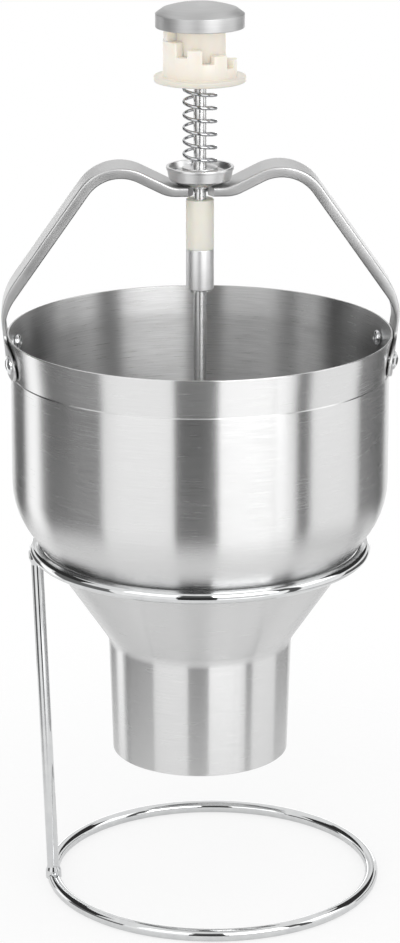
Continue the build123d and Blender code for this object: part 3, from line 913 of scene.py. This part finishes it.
turn_half = math.radians((90 + lug_lean + ARM) / 2)
neck_z = rim_z + ELBOW_OVER_RIM - ELBOW_RADIUS * math.tan(turn_half)
ear_z = neck_z - LUG_NECK
ear_start = BAR_HALF + LUG_NECK
ear_wide, ear_high = LUG_HALF - ear_start, ear_z - lug_foot
ear_radius = (ear_wide**2 + ear_high**2) / (2 * ear_high)
lug_end_half = span("handle", 1)[1]


def eased(value, start, end):
    """0 before start, 1 after end, and a smooth step between."""
    share = min(max((value - start) / (end - start), 0), 1)
    return share * share * (3 - 2 * share)


def half_width(z):
    """Half of the bow's width at a height: the bar, the ear's neck, the ear and its lower corners."""
    if z > neck_z:
        return BAR_HALF
    if z > ear_z:
        return ear_start - math.sqrt(LUG_NECK**2 - (neck_z - z) ** 2)
    ear = ear_start + math.sqrt(ear_radius**2 - (z - ear_z + ear_radius) ** 2)
    missing = min(max(LUG_CORNER - (z - lug_foot), 0), LUG_CORNER)
    foot = lug_end_half - LUG_CORNER + math.sqrt(LUG_CORNER**2 - missing**2)
    return min(ear, foot)


def bar_section(half, thickness, edge):
    """A rounded rectangle as (across, through) points, with more points along its two wide sides."""
    flat = half - edge
    points = []
    high = thickness - edge
    for side, through, first in ((1, edge, -90), (1, high, 0), (-1, high, 90), (-1, edge, 180)):
        for k in range(EDGE_STEPS + 1):
            angle = math.radians(first + 90 * k / EDGE_STEPS)
            points.append((side * flat + edge * math.cos(angle), through + edge * math.sin(angle)))
        if first in (0, 180):
            points += [(side * flat * (1 - 2 * k / ACROSS), points[-1][1]) for k in range(1, ACROSS)]
    return points


def bar_ring(shape, inner, outer, mirror):
    """One section of the bow as a ring of vertices."""
    thickness = (outer - inner).length
    middle = (inner + outer) / 2
    wrap = 1 - eased(middle.y, neck_z, neck_z + WRAP_FADE)
    ring = []
    edge = min(BAR_EDGE, EDGE_SHARE * thickness)
    for across, through in bar_section(half_width(middle.y), thickness, edge):
        x, z = inner.lerp(outer, through / thickness)
        bend = x - lug_axis
        if wrap > 0:
            x -= wrap * (bend - math.sqrt(bend * bend - across * across))
        ring.append(shape.verts.new((mirror * x * MM, across * MM, z * MM)))
    return ring


shape = bmesh.new()
rings = [bar_ring(shape, *pair, -1) for pair in reversed(stations[1:])]
rings += [bar_ring(shape, *pair, 1) for pair in stations]
for ring, following in zip(rings, rings[1:]):
    join(shape, ring, following)
shape.faces.new(rings[0])
shape.faces.new(rings[-1])
bow = new_piece("bow_handle", shape)
print("bow sections:", len(rings))

# %% [markdown]
# The rod goes into the bridge from the front through a slot with a flared mouth, and the cup's spigot sits
# in a round eye. Both are cut with a Boolean modifier, the way they are milled.

# %% Slot and eye
SLOT_HALF = 3.7
SLOT_MOUTH_HALF = 6.5
SLOT_MOUTH_DEPTH = 5.0
SPIGOT_RADIUS = 5.4
SPIGOT_DEPTH = 2.0
HOLE_CLEARANCE = 0.1
CIRCLE_STEPS = 48


def column(name, outline, bottom, top):
    """A straight column over an outline of (x, y) points, in millimetres."""
    shape = bmesh.new()
    floor_ring, roof_ring = [
        [shape.verts.new((x * MM, y * MM, z * MM)) for x, y in outline] for z in (bottom, top)
    ]
    join(shape, floor_ring, roof_ring)
    shape.faces.new(floor_ring)
    shape.faces.new(roof_ring)
    return new_piece(name, shape)


def cut(piece, cutter):
    """The piece less the cutter, as a new object of the same name."""
    modifier = piece.modifiers.new("cut", "BOOLEAN")
    modifier.operation = "DIFFERENCE"
    modifier.solver = "EXACT"
    modifier.object = cutter
    name = piece.name
    piece.name = name + "_blank"
    made = plain_copy(name, piece)
    bpy.data.objects.remove(cutter)
    made.data.set_sharp_from_angle(angle=math.radians(SHARP))
    return made


def circle(radius, start=0, end=360, steps=CIRCLE_STEPS):
    """Points of a circle, or of an arc with both its ends."""
    count = steps + (end - start < 360)
    angles = [math.radians(start + (end - start) * k / steps) for k in range(count)]
    return [(radius * math.cos(a), radius * math.sin(a)) for a in angles]


front = -BAR_HALF
slot = circle(SLOT_HALF, 0, 180)
slot += [(-SLOT_HALF, front + SLOT_MOUTH_DEPTH), (-SLOT_MOUTH_HALF, front)]
slot += [(-SLOT_MOUTH_HALF, 2 * front), (SLOT_MOUTH_HALF, 2 * front)]
slot += [(SLOT_MOUTH_HALF, front), (SLOT_HALF, front + SLOT_MOUTH_DEPTH)]
over = bridge_top + BRIDGE_THICKNESS
bow = cut(bow, column("slot", slot, bridge_bottom - BRIDGE_THICKNESS, over))
eye = circle(SPIGOT_RADIUS + HOLE_CLEARANCE)
bow = cut(bow, column("eye", eye, bridge_top - SPIGOT_DEPTH - HOLE_CLEARANCE, over))
finish(bow, "hopper", ["handle"], aluminium)

# %% [markdown]
# ## Rivets
#
# Four rivets hold the lugs, two at each side. A rivet has a domed head outside and a round tail with a
# dimple inside. One is turned on the lathe and laid square to the lug. A node tree then puts it on four
# points, two on the axis of each lug's bend, and turns each about that axis by its own angle.

# %% One rivet
RIVET_BELOW_RIM = 10.7
RIVET_SPREAD = 22.0
SHANK = 2.2
HEAD_RADIUS = 4.6
HEAD_EDGE = 0.8
HEAD_HEIGHT = 2.4
TAIL_RADIUS = 4.0
TAIL_HEIGHT = 2.3
DIMPLE_RADIUS = 1.4
DIMPLE_DEPTH = 1.0
DOME_STEPS = 10
DOME_SHARP = 50.0
RIVET_SIDES = 32


def dome(edge, rise, top, steps):
    """Points of a dome's outline, from its edge up to its pole."""
    radius = (edge**2 + rise**2) / (2 * rise)
    points = []
    for k in range(steps + 1):
        across = edge * (1 - k / steps)
        drop = radius - math.sqrt(radius**2 - across**2)
        points.append(Vector((across, top - drop)))
    return points


rivet_z = rim_z - RIVET_BELOW_RIM
bend = lug_face(rivet_z) - lug_axis
swing = math.asin(RIVET_SPREAD / bend)
wall = band_face(rivet_z) - SHEET
wall_side = -lug_axis * math.sin(swing)
wall_tilt = math.asin(wall_side / wall)
wall_inside = -lug_axis * math.cos(swing) + math.sqrt(wall**2 - wall_side**2)
head = LUG_THICKNESS
tail = wall_inside - bend - TAIL_RADIUS * math.tan(wall_tilt) - TAIL_RADIUS**2 / wall
tail_rise = TAIL_HEIGHT - HEAD_EDGE / 2
tail_run = TAIL_RADIUS - DIMPLE_RADIUS
tail_round = (tail_rise**2 + tail_run**2) / (2 * tail_run)
tail_sweep = math.atan2(tail_rise, tail_round - tail_run)
profile = [Vector((0, tail - TAIL_HEIGHT + DIMPLE_DEPTH))]
for k in range(DOME_STEPS + 1):
    angle = tail_sweep * (1 - k / DOME_STEPS)
    across = TAIL_RADIUS - tail_round * (1 - math.cos(angle))
    profile.append(Vector((across, tail - HEAD_EDGE / 2 - tail_round * math.sin(angle))))
profile += [Vector((TAIL_RADIUS, tail)), Vector((SHANK, tail))]
profile += [Vector((SHANK, head)), Vector((HEAD_RADIUS, head))]
profile += dome(HEAD_RADIUS, HEAD_HEIGHT - HEAD_EDGE, head + HEAD_HEIGHT, DOME_STEPS)
shape = bmesh.new()
spin(shape, profile, RIVET_SIDES)
rivet = new_piece("rivet_pattern", shape, DOME_SHARP)
lay_down = Matrix.Rotation(math.radians(90 + lug_lean), 4, "Y")
rivet.data.transform(Matrix.Translation((bend * MM, 0, rivet_z * MM)) @ lay_down)
print("rivet:", len(rivet.data.polygons), "faces, swung by", round(math.degrees(swing), 1), "degrees")

# %% Four rivets
group, given = node_group("rivet_places", rivet="Object", swing="Float", axis="Float")
spots = node(group, "GeometryNodePoints", {"Count": 4}).outputs["Points"]
number = node(group, "GeometryNodeInputIndex").outputs["Index"]
pair = node(group, "ShaderNodeMath", {0: number, 1: 2.0}, operation="DIVIDE").outputs[0]
side = node(group, "ShaderNodeMath", {0: pair}, operation="FLOOR").outputs[0]
odd = node(group, "ShaderNodeMath", {0: number, 1: 2.0}, operation="MODULO").outputs[0]
sign = node(group, "ShaderNodeMath", {0: odd, 1: 2.0, 2: -1.0}, operation="MULTIPLY_ADD").outputs[0]
offset = node(group, "ShaderNodeMath", {0: sign, 1: given["swing"]}, operation="MULTIPLY").outputs[0]
half_turns = {0: side, 1: math.pi, 2: offset}
facing = node(group, "ShaderNodeMath", half_turns, operation="MULTIPLY_ADD").outputs[0]
turned_by = node(group, "ShaderNodeCombineXYZ", {"Z": facing}).outputs["Vector"]
left = node(group, "ShaderNodeMath", {0: side, 1: -2.0, 2: 1.0}, operation="MULTIPLY_ADD").outputs[0]
axis_x = node(group, "ShaderNodeMath", {0: left, 1: given["axis"]}, operation="MULTIPLY").outputs[0]
axis_at = node(group, "ShaderNodeCombineXYZ", {"X": axis_x}).outputs["Vector"]
on_axis = {"Geometry": spots, "Position": axis_at}
placed = node(group, "GeometryNodeSetPosition", on_axis).outputs["Geometry"]
source = node(group, "GeometryNodeObjectInfo", {"Object": given["rivet"]}).outputs["Geometry"]
each = {"Points": placed, "Instance": source, "Rotation": turned_by}
copies = node(group, "GeometryNodeInstanceOnPoints", each)
close_group(group, copies.outputs["Instances"], rivet_metal)
rivets = grow("lug_rivets", group, rivet=rivet, swing=swing, axis=lug_axis * MM)
bpy.data.objects.remove(rivet)
finish(rivets, "hopper", ["handle_rivets"], rivet_metal)

# %% [markdown]
# ## Cup and spring
#
# A turned aluminium cup sits on the bridge. Its rim stands up round a boss, and the spring stands on the
# boss. It is round from its spigot to its lip, so it is one more outline for the lathe.

# %% Spring cup
CUP_RIM = 17.0
CUP_LIP_HEIGHT = 1.4
CUP_LIP_STEP = 0.5
CUP_BASE = 15.4
CUP_FOOT_HEIGHT = 2.4
CUP_FOOT = 10.5
CUP_WALL = 1.5
CUP_FLOOR_DEPTH = 3.4
BOSS_RADIUS = 8.9
BOSS_BELOW_RIM = 0.5
ROD_BORE = 3.35

cup_z = span("spring_cup", 2)[1]
boss_z = cup_z - BOSS_BELOW_RIM
floor_z = cup_z - CUP_FLOOR_DEPTH
cup = turned(
    "spring_cup_turned",
    [
        (ROD_BORE, bridge_top - SPIGOT_DEPTH, 0.2),
        (SPIGOT_RADIUS, bridge_top - SPIGOT_DEPTH, 0.2),
        (SPIGOT_RADIUS, bridge_top, 0),
        (CUP_FOOT, bridge_top, 0.8),
        (CUP_BASE, bridge_top + CUP_FOOT_HEIGHT, 0.9),
        (CUP_RIM - CUP_LIP_STEP, cup_z - CUP_LIP_HEIGHT, 0.2),
        (CUP_RIM, cup_z - CUP_LIP_HEIGHT, 0.2),
        (CUP_RIM, cup_z, 0.5),
        (CUP_RIM - CUP_WALL, cup_z, 0.5),
        (CUP_BASE - CUP_WALL, floor_z, 0.8),
        (BOSS_RADIUS, floor_z, 0.6),
        (BOSS_RADIUS, boss_z, 0.4),
        (ROD_BORE, boss_z, 0.3),
    ],
)
finish(cup, "hopper", ["spring_cup"], cup_metal)

# %% [markdown]
# The spring is one wire wound round a helix, so it is a spiral curve with a round section.

# %% Return spring
SPRING_TURNS = 6.25
SPRING_START = 120.0
SPRING_WIRE = 1.7
SPRING_SIDES = 14
COIL_STEPS = 48

group, given = node_group(
    "wound_spring", wire_radius="Float", coil_radius="Float", height="Float", turns="Float"
)
helix = node(
    group,
    "GeometryNodeCurveSpiral",
    {
        "Resolution": COIL_STEPS,
        "Rotations": given["turns"],
        "Start Radius": given["coil_radius"],
        "End Radius": given["coil_radius"],
        "Height": given["height"],
        "Reverse": False,
    },
)
wire = wire_on(group, helix.outputs["Curve"], SPRING_SIDES, given["wire_radius"], {"Fill Caps": True})
close_group(group, wire, spring_metal)
low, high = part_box("return_spring")
spring = grow(
    "return_spring_wire",
    group,
    wire_radius=SPRING_WIRE / 2 * MM,
    coil_radius=(high.y - low.y) / 2 - SPRING_WIRE / 2 * MM,
    height=high.z - low.z - SPRING_WIRE * MM,
    turns=SPRING_TURNS,
)
wound_from = Matrix.Rotation(math.radians(SPRING_START), 4, "Z")
spring.data.transform(Matrix.Translation((0, 0, low.z + SPRING_WIRE / 2 * MM)) @ wound_from)
finish(spring, "hopper", ["return_spring"], spring_metal)
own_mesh(spring)

# %% [markdown]
# ## Rod, sleeve and tube
#
# A steel rod goes through everything. Under the bridge it carries a plastic sleeve, which stops against
# the bridge, and a steel tube, held by a clip in a groove. Plain cylinders would do from afar. Outlines
# give the rod its groove and its shoulder, and every end its bevel. The clip is pressed from sheet, so it
# is an open ring raised straight up.

# %% Rod and what is on it
ROD = 3.25
THREAD = 2.5
ROD_SHOULDER_DEPTH = 3.0
CLIP_GROOVE = 2.6
GROOVE_HEIGHT = 1.1
TUBE_BORE = 4.8
SLEEVE_BORE = 3.25
ROD_SIDES = 48
TUBE_SIDES = 64

rod_low, rod_high = span("plunger_rod", 2)
sleeve_low, sleeve_high = span("stop_sleeve", 2)
tube_low = span("spacer_tube", 2)[0]
sleeve_radius = span("stop_sleeve", 0)[1]
tube_radius = span("spacer_tube", 0)[1]
shoulder_z = span("knob_core", 2)[0] + ROD_SHOULDER_DEPTH
rod = turned(
    "plunger_rod_ground",
    [
        (0, rod_low, 0),
        (ROD, rod_low, 0.4),
        (ROD, tube_low - GROOVE_HEIGHT, 0),
        (CLIP_GROOVE, tube_low - GROOVE_HEIGHT, 0),
        (CLIP_GROOVE, tube_low, 0),
        (ROD, tube_low, 0),
        (ROD, shoulder_z, 0.2),
        (THREAD, shoulder_z, 0),
        (THREAD, rod_high, 0.4),
        (0, rod_high, 0),
    ],
    segments=ROD_SIDES,
)
finish(rod, "plunger", ["plunger_rod"], polished_steel)
sleeve = turned(
    "stop_sleeve_moulded",
    [
        (SLEEVE_BORE, sleeve_low, 0),
        (sleeve_radius, sleeve_low, 0.3),
        (sleeve_radius, sleeve_high, 0.7),
        (SLEEVE_BORE, sleeve_high, 0.2),
    ],
    segments=TUBE_SIDES,
)
finish(sleeve, "plunger", ["stop_sleeve"], sleeve_plastic)
spacer = turned(
    "spacer_tube_drawn",
    [
        (TUBE_BORE, tube_low, 0.3),
        (tube_radius, tube_low, 0.4),
        (tube_radius, sleeve_low, 0.3),
        (TUBE_BORE, sleeve_low, 0.2),
    ],
    segments=TUBE_SIDES,
)
finish(spacer, "plunger", ["spacer_tube"], tube_steel)

# %% Rod clip
CLIP_MOUTH = 4.6
CLIP_CLEARANCE = 0.05

clip_low, clip_high = span("rod_clip", 2)
clip_outer = span("rod_clip", 0)[1]
clip_inner = CLIP_GROOVE + CLIP_CLEARANCE
gap = [math.degrees(math.asin(CLIP_MOUTH / 2 / radius)) for radius in (clip_outer, clip_inner)]
outline = circle(clip_outer, -90 + gap[0], 270 - gap[0])
outline += reversed(circle(clip_inner, -90 + gap[1], 270 - gap[1]))
clip = column("rod_clip_pressed", outline, clip_low, clip_high)
finish(clip, "plunger", ["rod_clip"], polished_steel)

# %% [markdown]
# ## Piston and shut-off disc
#
# At the rod's lower end a disc with a silicone ring closes the outlet, and a piston above it pushes the
# batter through. Both are turned, and clamped by nuts. A nut's corners are turned off to a cone, which
# leaves the curved edges that every real nut has. A plain prism lacks them, so a nut is made of six rings
# of points that follow the cone.

# %% Piston, disc, seal, spacer
SEAL_INNER = 36.0


def washer(name, node_name, bore, edge, bore_edge=0.0):
    """A turned ring over the whole height of a CAD node."""
    low, high = span(node_name, 2)
    radius = span(node_name, 0)[1]
    corners = [(bore, low, bore_edge), (radius, low, edge), (radius, high, edge), (bore, high, bore_edge)]
    return turned(name, corners)


disc_low, disc_high = span("shut_off_disc", 2)
disc_radius = span("shut_off_disc", 0)[1]
seal_low = span("disc_seal", 2)[0]
disc = turned(
    "shut_off_disc_turned",
    [
        (ROD, disc_low, 0),
        (disc_radius, disc_low, 0.5),
        (disc_radius, seal_low, 0.3),
        (SEAL_INNER, seal_low, 0),
        (SEAL_INNER, disc_high, 0.3),
        (ROD, disc_high, 0),
    ],
)
finish(disc, "plunger", ["shut_off_disc"], polished_steel)
seal = washer("disc_seal_ring", "disc_seal", SEAL_INNER, 0.5, 0.2)
finish(seal, "plunger", ["disc_seal"], silicone)
piston = washer("metering_piston_turned", "metering_piston", ROD, 0.8)
finish(piston, "plunger", ["metering_piston"], polished_steel)
piston_tube = washer("piston_spacer_tube", "piston_spacer", ROD, 0.3)
finish(piston_tube, "plunger", ["piston_spacer"], polished_steel)

# %% Nuts
NUT_CHAMFER = 30.0
NUT_FACE = 0.97
NUT_STEPS = 8
NUT_SHARP = 25.0


def nut(name, node_name, bore):
    """A hexagon nut over a CAD node: its corners are turned off to a cone."""
    low, high = span(node_name, 2)
    flat = span(node_name, 1)[1]
    face = NUT_FACE * flat
    shape = bmesh.new()
    rings = [[] for _ in range(6)]
    for k in range(6 * NUT_STEPS):
        angle = 60 * k / NUT_STEPS
        edge = flat / math.cos(math.radians(angle % 60 - 30))
        drop = (edge - face) * math.tan(math.radians(NUT_CHAMFER))
        levels = [(bore, low), (face, low), (edge, low + drop)]
        levels += [(edge, high - drop), (face, high), (bore, high)]
        for ring, (radius, z) in zip(rings, levels):
            ring.append(polar(shape, math.radians(angle), radius, z))
    for ring, following in zip(rings, rings[1:] + rings[:1]):
        join(shape, ring, following)
    return new_piece(name, shape, NUT_SHARP)


for nut_node, bore in (("end_nut", ROD), ("piston_lock_nut", ROD), ("knob_nut", THREAD)):
    finish(nut(nut_node + "_hexagon", nut_node, bore), "plunger", [nut_node], polished_steel)

# %% [markdown]
# ## Dose dial
#
# The dial is a flanged plastic drum whose rim is cut in steps. Turning it brings a lower or higher step
# under the knob's lug, and that sets how far the plunger can go. Booleans could cut the steps. Here the
# drum is built round its axis in small angular cells, each with its own height, and a riser stands where
# two cells differ: that leaves clean edges, which a bevel can round.

# %% Dial steps
FLANGE_THICKNESS = 3.0
FLANGE_ROUND = 0.9
DIAL_WEB = 2.0
CROWN = 18.3
CROWN_HEIGHT = 17.8
CROWN_STEP = 3.05
NOTCH_DEPTH = 3.8
NOTCH_COUNT = 4
NOTCH_PERIOD = 43.0
NOTCH_WIDTH = 19.0
LEDGE_START = 168.0
LEDGE_END = 228.0
STOP_WALL_WIDTH = 18.0
CORE_RADIUS = 12.8
CORE_CLEARANCE = 0.1
CELL = 3.0

dial_z, crown_top = span("dose_dial", 2)
flange_radius = span("dose_dial", 0)[1]
flange_z = dial_z + FLANGE_THICKNESS
web_z = dial_z + DIAL_WEB
ledge_z = flange_z + CROWN_HEIGHT
crown_bore = CORE_RADIUS + CORE_CLEARANCE

steps = [(LEDGE_START, LEDGE_END, ledge_z)]
start = LEDGE_END
for dose in range(1, NOTCH_COUNT + 1):
    merlon = ledge_z - CROWN_STEP * dose
    end = start + NOTCH_PERIOD if dose < NOTCH_COUNT else LEDGE_START + 360 - STOP_WALL_WIDTH
    steps.append((start, start + NOTCH_WIDTH, merlon - NOTCH_DEPTH))
    steps.append((start + NOTCH_WIDTH, end, merlon))
    start = end
steps.append((start, LEDGE_START + 360, crown_top))
print("dial steps:", [(round(a), round(b), round(t - flange_z, 1)) for a, b, t in steps])

# %% Dial drum
MOULD_EDGE = 0.35
MOULD_EDGE_STEPS = 2
SKIRT_STEP = 18.0
CRISP_ANGLE = 40.0
CRISP_ABOVE = 1.0
CELL_MERGE = 1e-6

cells = []
for start, end, top in steps:
    count = math.ceil((end - start) / CELL)
    edges = [math.radians(start + (end - start) * k / count) for k in range(count + 1)]
    cells += [(*pair, top) for pair in zip(edges, edges[1:])]
skirt = rounded(
    [
        (crown_bore, web_z, 0),
        (ROD_BORE, web_z, 0.2),
        (ROD_BORE, dial_z, 0.2),
        (flange_radius, dial_z, FLANGE_ROUND),
        (flange_radius, flange_z, FLANGE_ROUND),
        (CROWN, flange_z, 0),
    ],
    closed=False,
    step=SKIRT_STEP,
)
shape = bmesh.new()
for (start, end, top), before, after in zip(cells, cells[-1:] + cells, cells[1:] + cells[:1]):
    for (r0, z0), (r1, z1) in zip(skirt, skirt[1:]):
        panel = ((start, r0, z0), (end, r0, z0), (end, r1, z1), (start, r1, z1))
        shape.faces.new([polar(shape, *spot) for spot in panel])
    start_levels = [before[2]] if before[2] < top else []
    end_levels = [after[2]] if after[2] < top else []
    for radius, foot in ((CROWN, flange_z), (crown_bore, web_z)):
        wall = [polar(shape, start, radius, z) for z in (foot, *start_levels, top)]
        wall += [polar(shape, end, radius, z) for z in (top, *end_levels, foot)]
        shape.faces.new(wall)
    tread = ((start, CROWN), (end, CROWN), (end, crown_bore), (start, crown_bore))
    shape.faces.new([polar(shape, angle, radius, top) for angle, radius in tread])
    if after[2] != top:
        riser = ((CROWN, top), (CROWN, after[2]), (crown_bore, after[2]), (crown_bore, top))
        shape.faces.new([polar(shape, end, radius, z) for radius, z in riser])
bmesh.ops.remove_doubles(shape, verts=shape.verts, dist=CELL_MERGE)
bmesh.ops.recalc_face_normals(shape, faces=shape.faces)
crisp = [e for e in shape.edges if e.calc_face_angle(0) > math.radians(CRISP_ANGLE)]
crisp = [e for e in crisp if min(v.co.z for v in e.verts) > (flange_z + CRISP_ABOVE) * MM]
bmesh.ops.bevel(
    shape,
    geom=crisp,
    offset=MOULD_EDGE * MM,
    segments=MOULD_EDGE_STEPS,
    profile=0.5,
    affect="EDGES",
)
dial = new_piece("dose_dial_moulded", shape)
finish(dial, "dial", ["dose_dial"], cream_plastic)

# %% [markdown]
# ## Knob
#
# The dial turns about the knob's plastic core, and the core's lug stands over the steps. A nut in the
# core's pocket holds it on the rod, and the metal thumb cap is pressed over it. Core and cap are outlines
# again. The lug is a short block bent round the axis, and the cap's outline ends in a dome.

# %% Knob core
CORE_LUG_ANGLE = 195.0
CORE_LUG_WIDTH = 16.0
CORE_LUG_RADIUS = 18.0
CORE_LUG_GAP = 0.05
CORE_LUG_ROOT = 1.4
CAP_WALL = 1.4
POCKET = 5.6
CORE_SIDES = 96

core_low, plate_top = span("knob_core", 2)
cap_low, cap_high = span("knob_cap", 2)
cap_radius = span("knob_cap", 0)[1]
pocket_floor = span("knob_nut", 2)[0]
shape = bmesh.new()
spin(
    shape,
    rounded(
        [
            (ROD_BORE, core_low, 0.2),
            (CORE_RADIUS, core_low, 0.5),
            (CORE_RADIUS, cap_low, 0.2),
            (cap_radius - CAP_WALL, cap_low, 0.2),
            (cap_radius - CAP_WALL, plate_top, 0),
            (POCKET, plate_top, 0),
            (POCKET, pocket_floor, 0),
            (THREAD, pocket_floor, 0),
            (THREAD, shoulder_z, 0),
            (ROD_BORE, shoulder_z, 0),
        ]
    ),
    CORE_SIDES,
)
count = math.ceil(CORE_LUG_WIDTH / CELL)
lug_low = ledge_z + CORE_LUG_GAP
lug_root = CORE_RADIUS - CORE_LUG_ROOT
levels = ((lug_root, lug_low), (CORE_LUG_RADIUS, lug_low), (CORE_LUG_RADIUS, cap_low), (lug_root, cap_low))
walls = []
for k in range(count + 1):
    angle = math.radians(CORE_LUG_ANGLE + CORE_LUG_WIDTH * (k / count - 0.5))
    walls.append([polar(shape, angle, radius, z) for radius, z in levels])
for wall, following in zip(walls, walls[1:]):
    join(shape, wall, following)
shape.faces.new(walls[0])
shape.faces.new(walls[-1])
core = new_piece("knob_core_moulded", shape)
finish(core, "plunger", ["knob_core"], cream_plastic)

# %% Thumb cap
CAP_SIDE = 6.8
CAP_BEVEL_WIDTH = 3.6
CAP_BEVEL_RISE = 2.6
DOME_RINGS = 14

side_top = cap_low + CAP_SIDE
bevel_radius = cap_radius - CAP_BEVEL_WIDTH
bevel_top = side_top + CAP_BEVEL_RISE
profile = rounded(
    [
        (0, plate_top, 0),
        (cap_radius - CAP_WALL, plate_top, 0),
        (cap_radius - CAP_WALL, cap_low, 0.3),
        (cap_radius, cap_low, 0.5),
        (cap_radius, side_top, 0.35),
        (bevel_radius, bevel_top, 0),
    ],
    closed=False,
)
profile += dome(bevel_radius, cap_high - bevel_top, cap_high, DOME_RINGS)
shape = bmesh.new()
spin(shape, profile)
cap = new_piece("thumb_cap", shape, DOME_SHARP)
finish(cap, "plunger", ["knob_cap"], cap_metal)
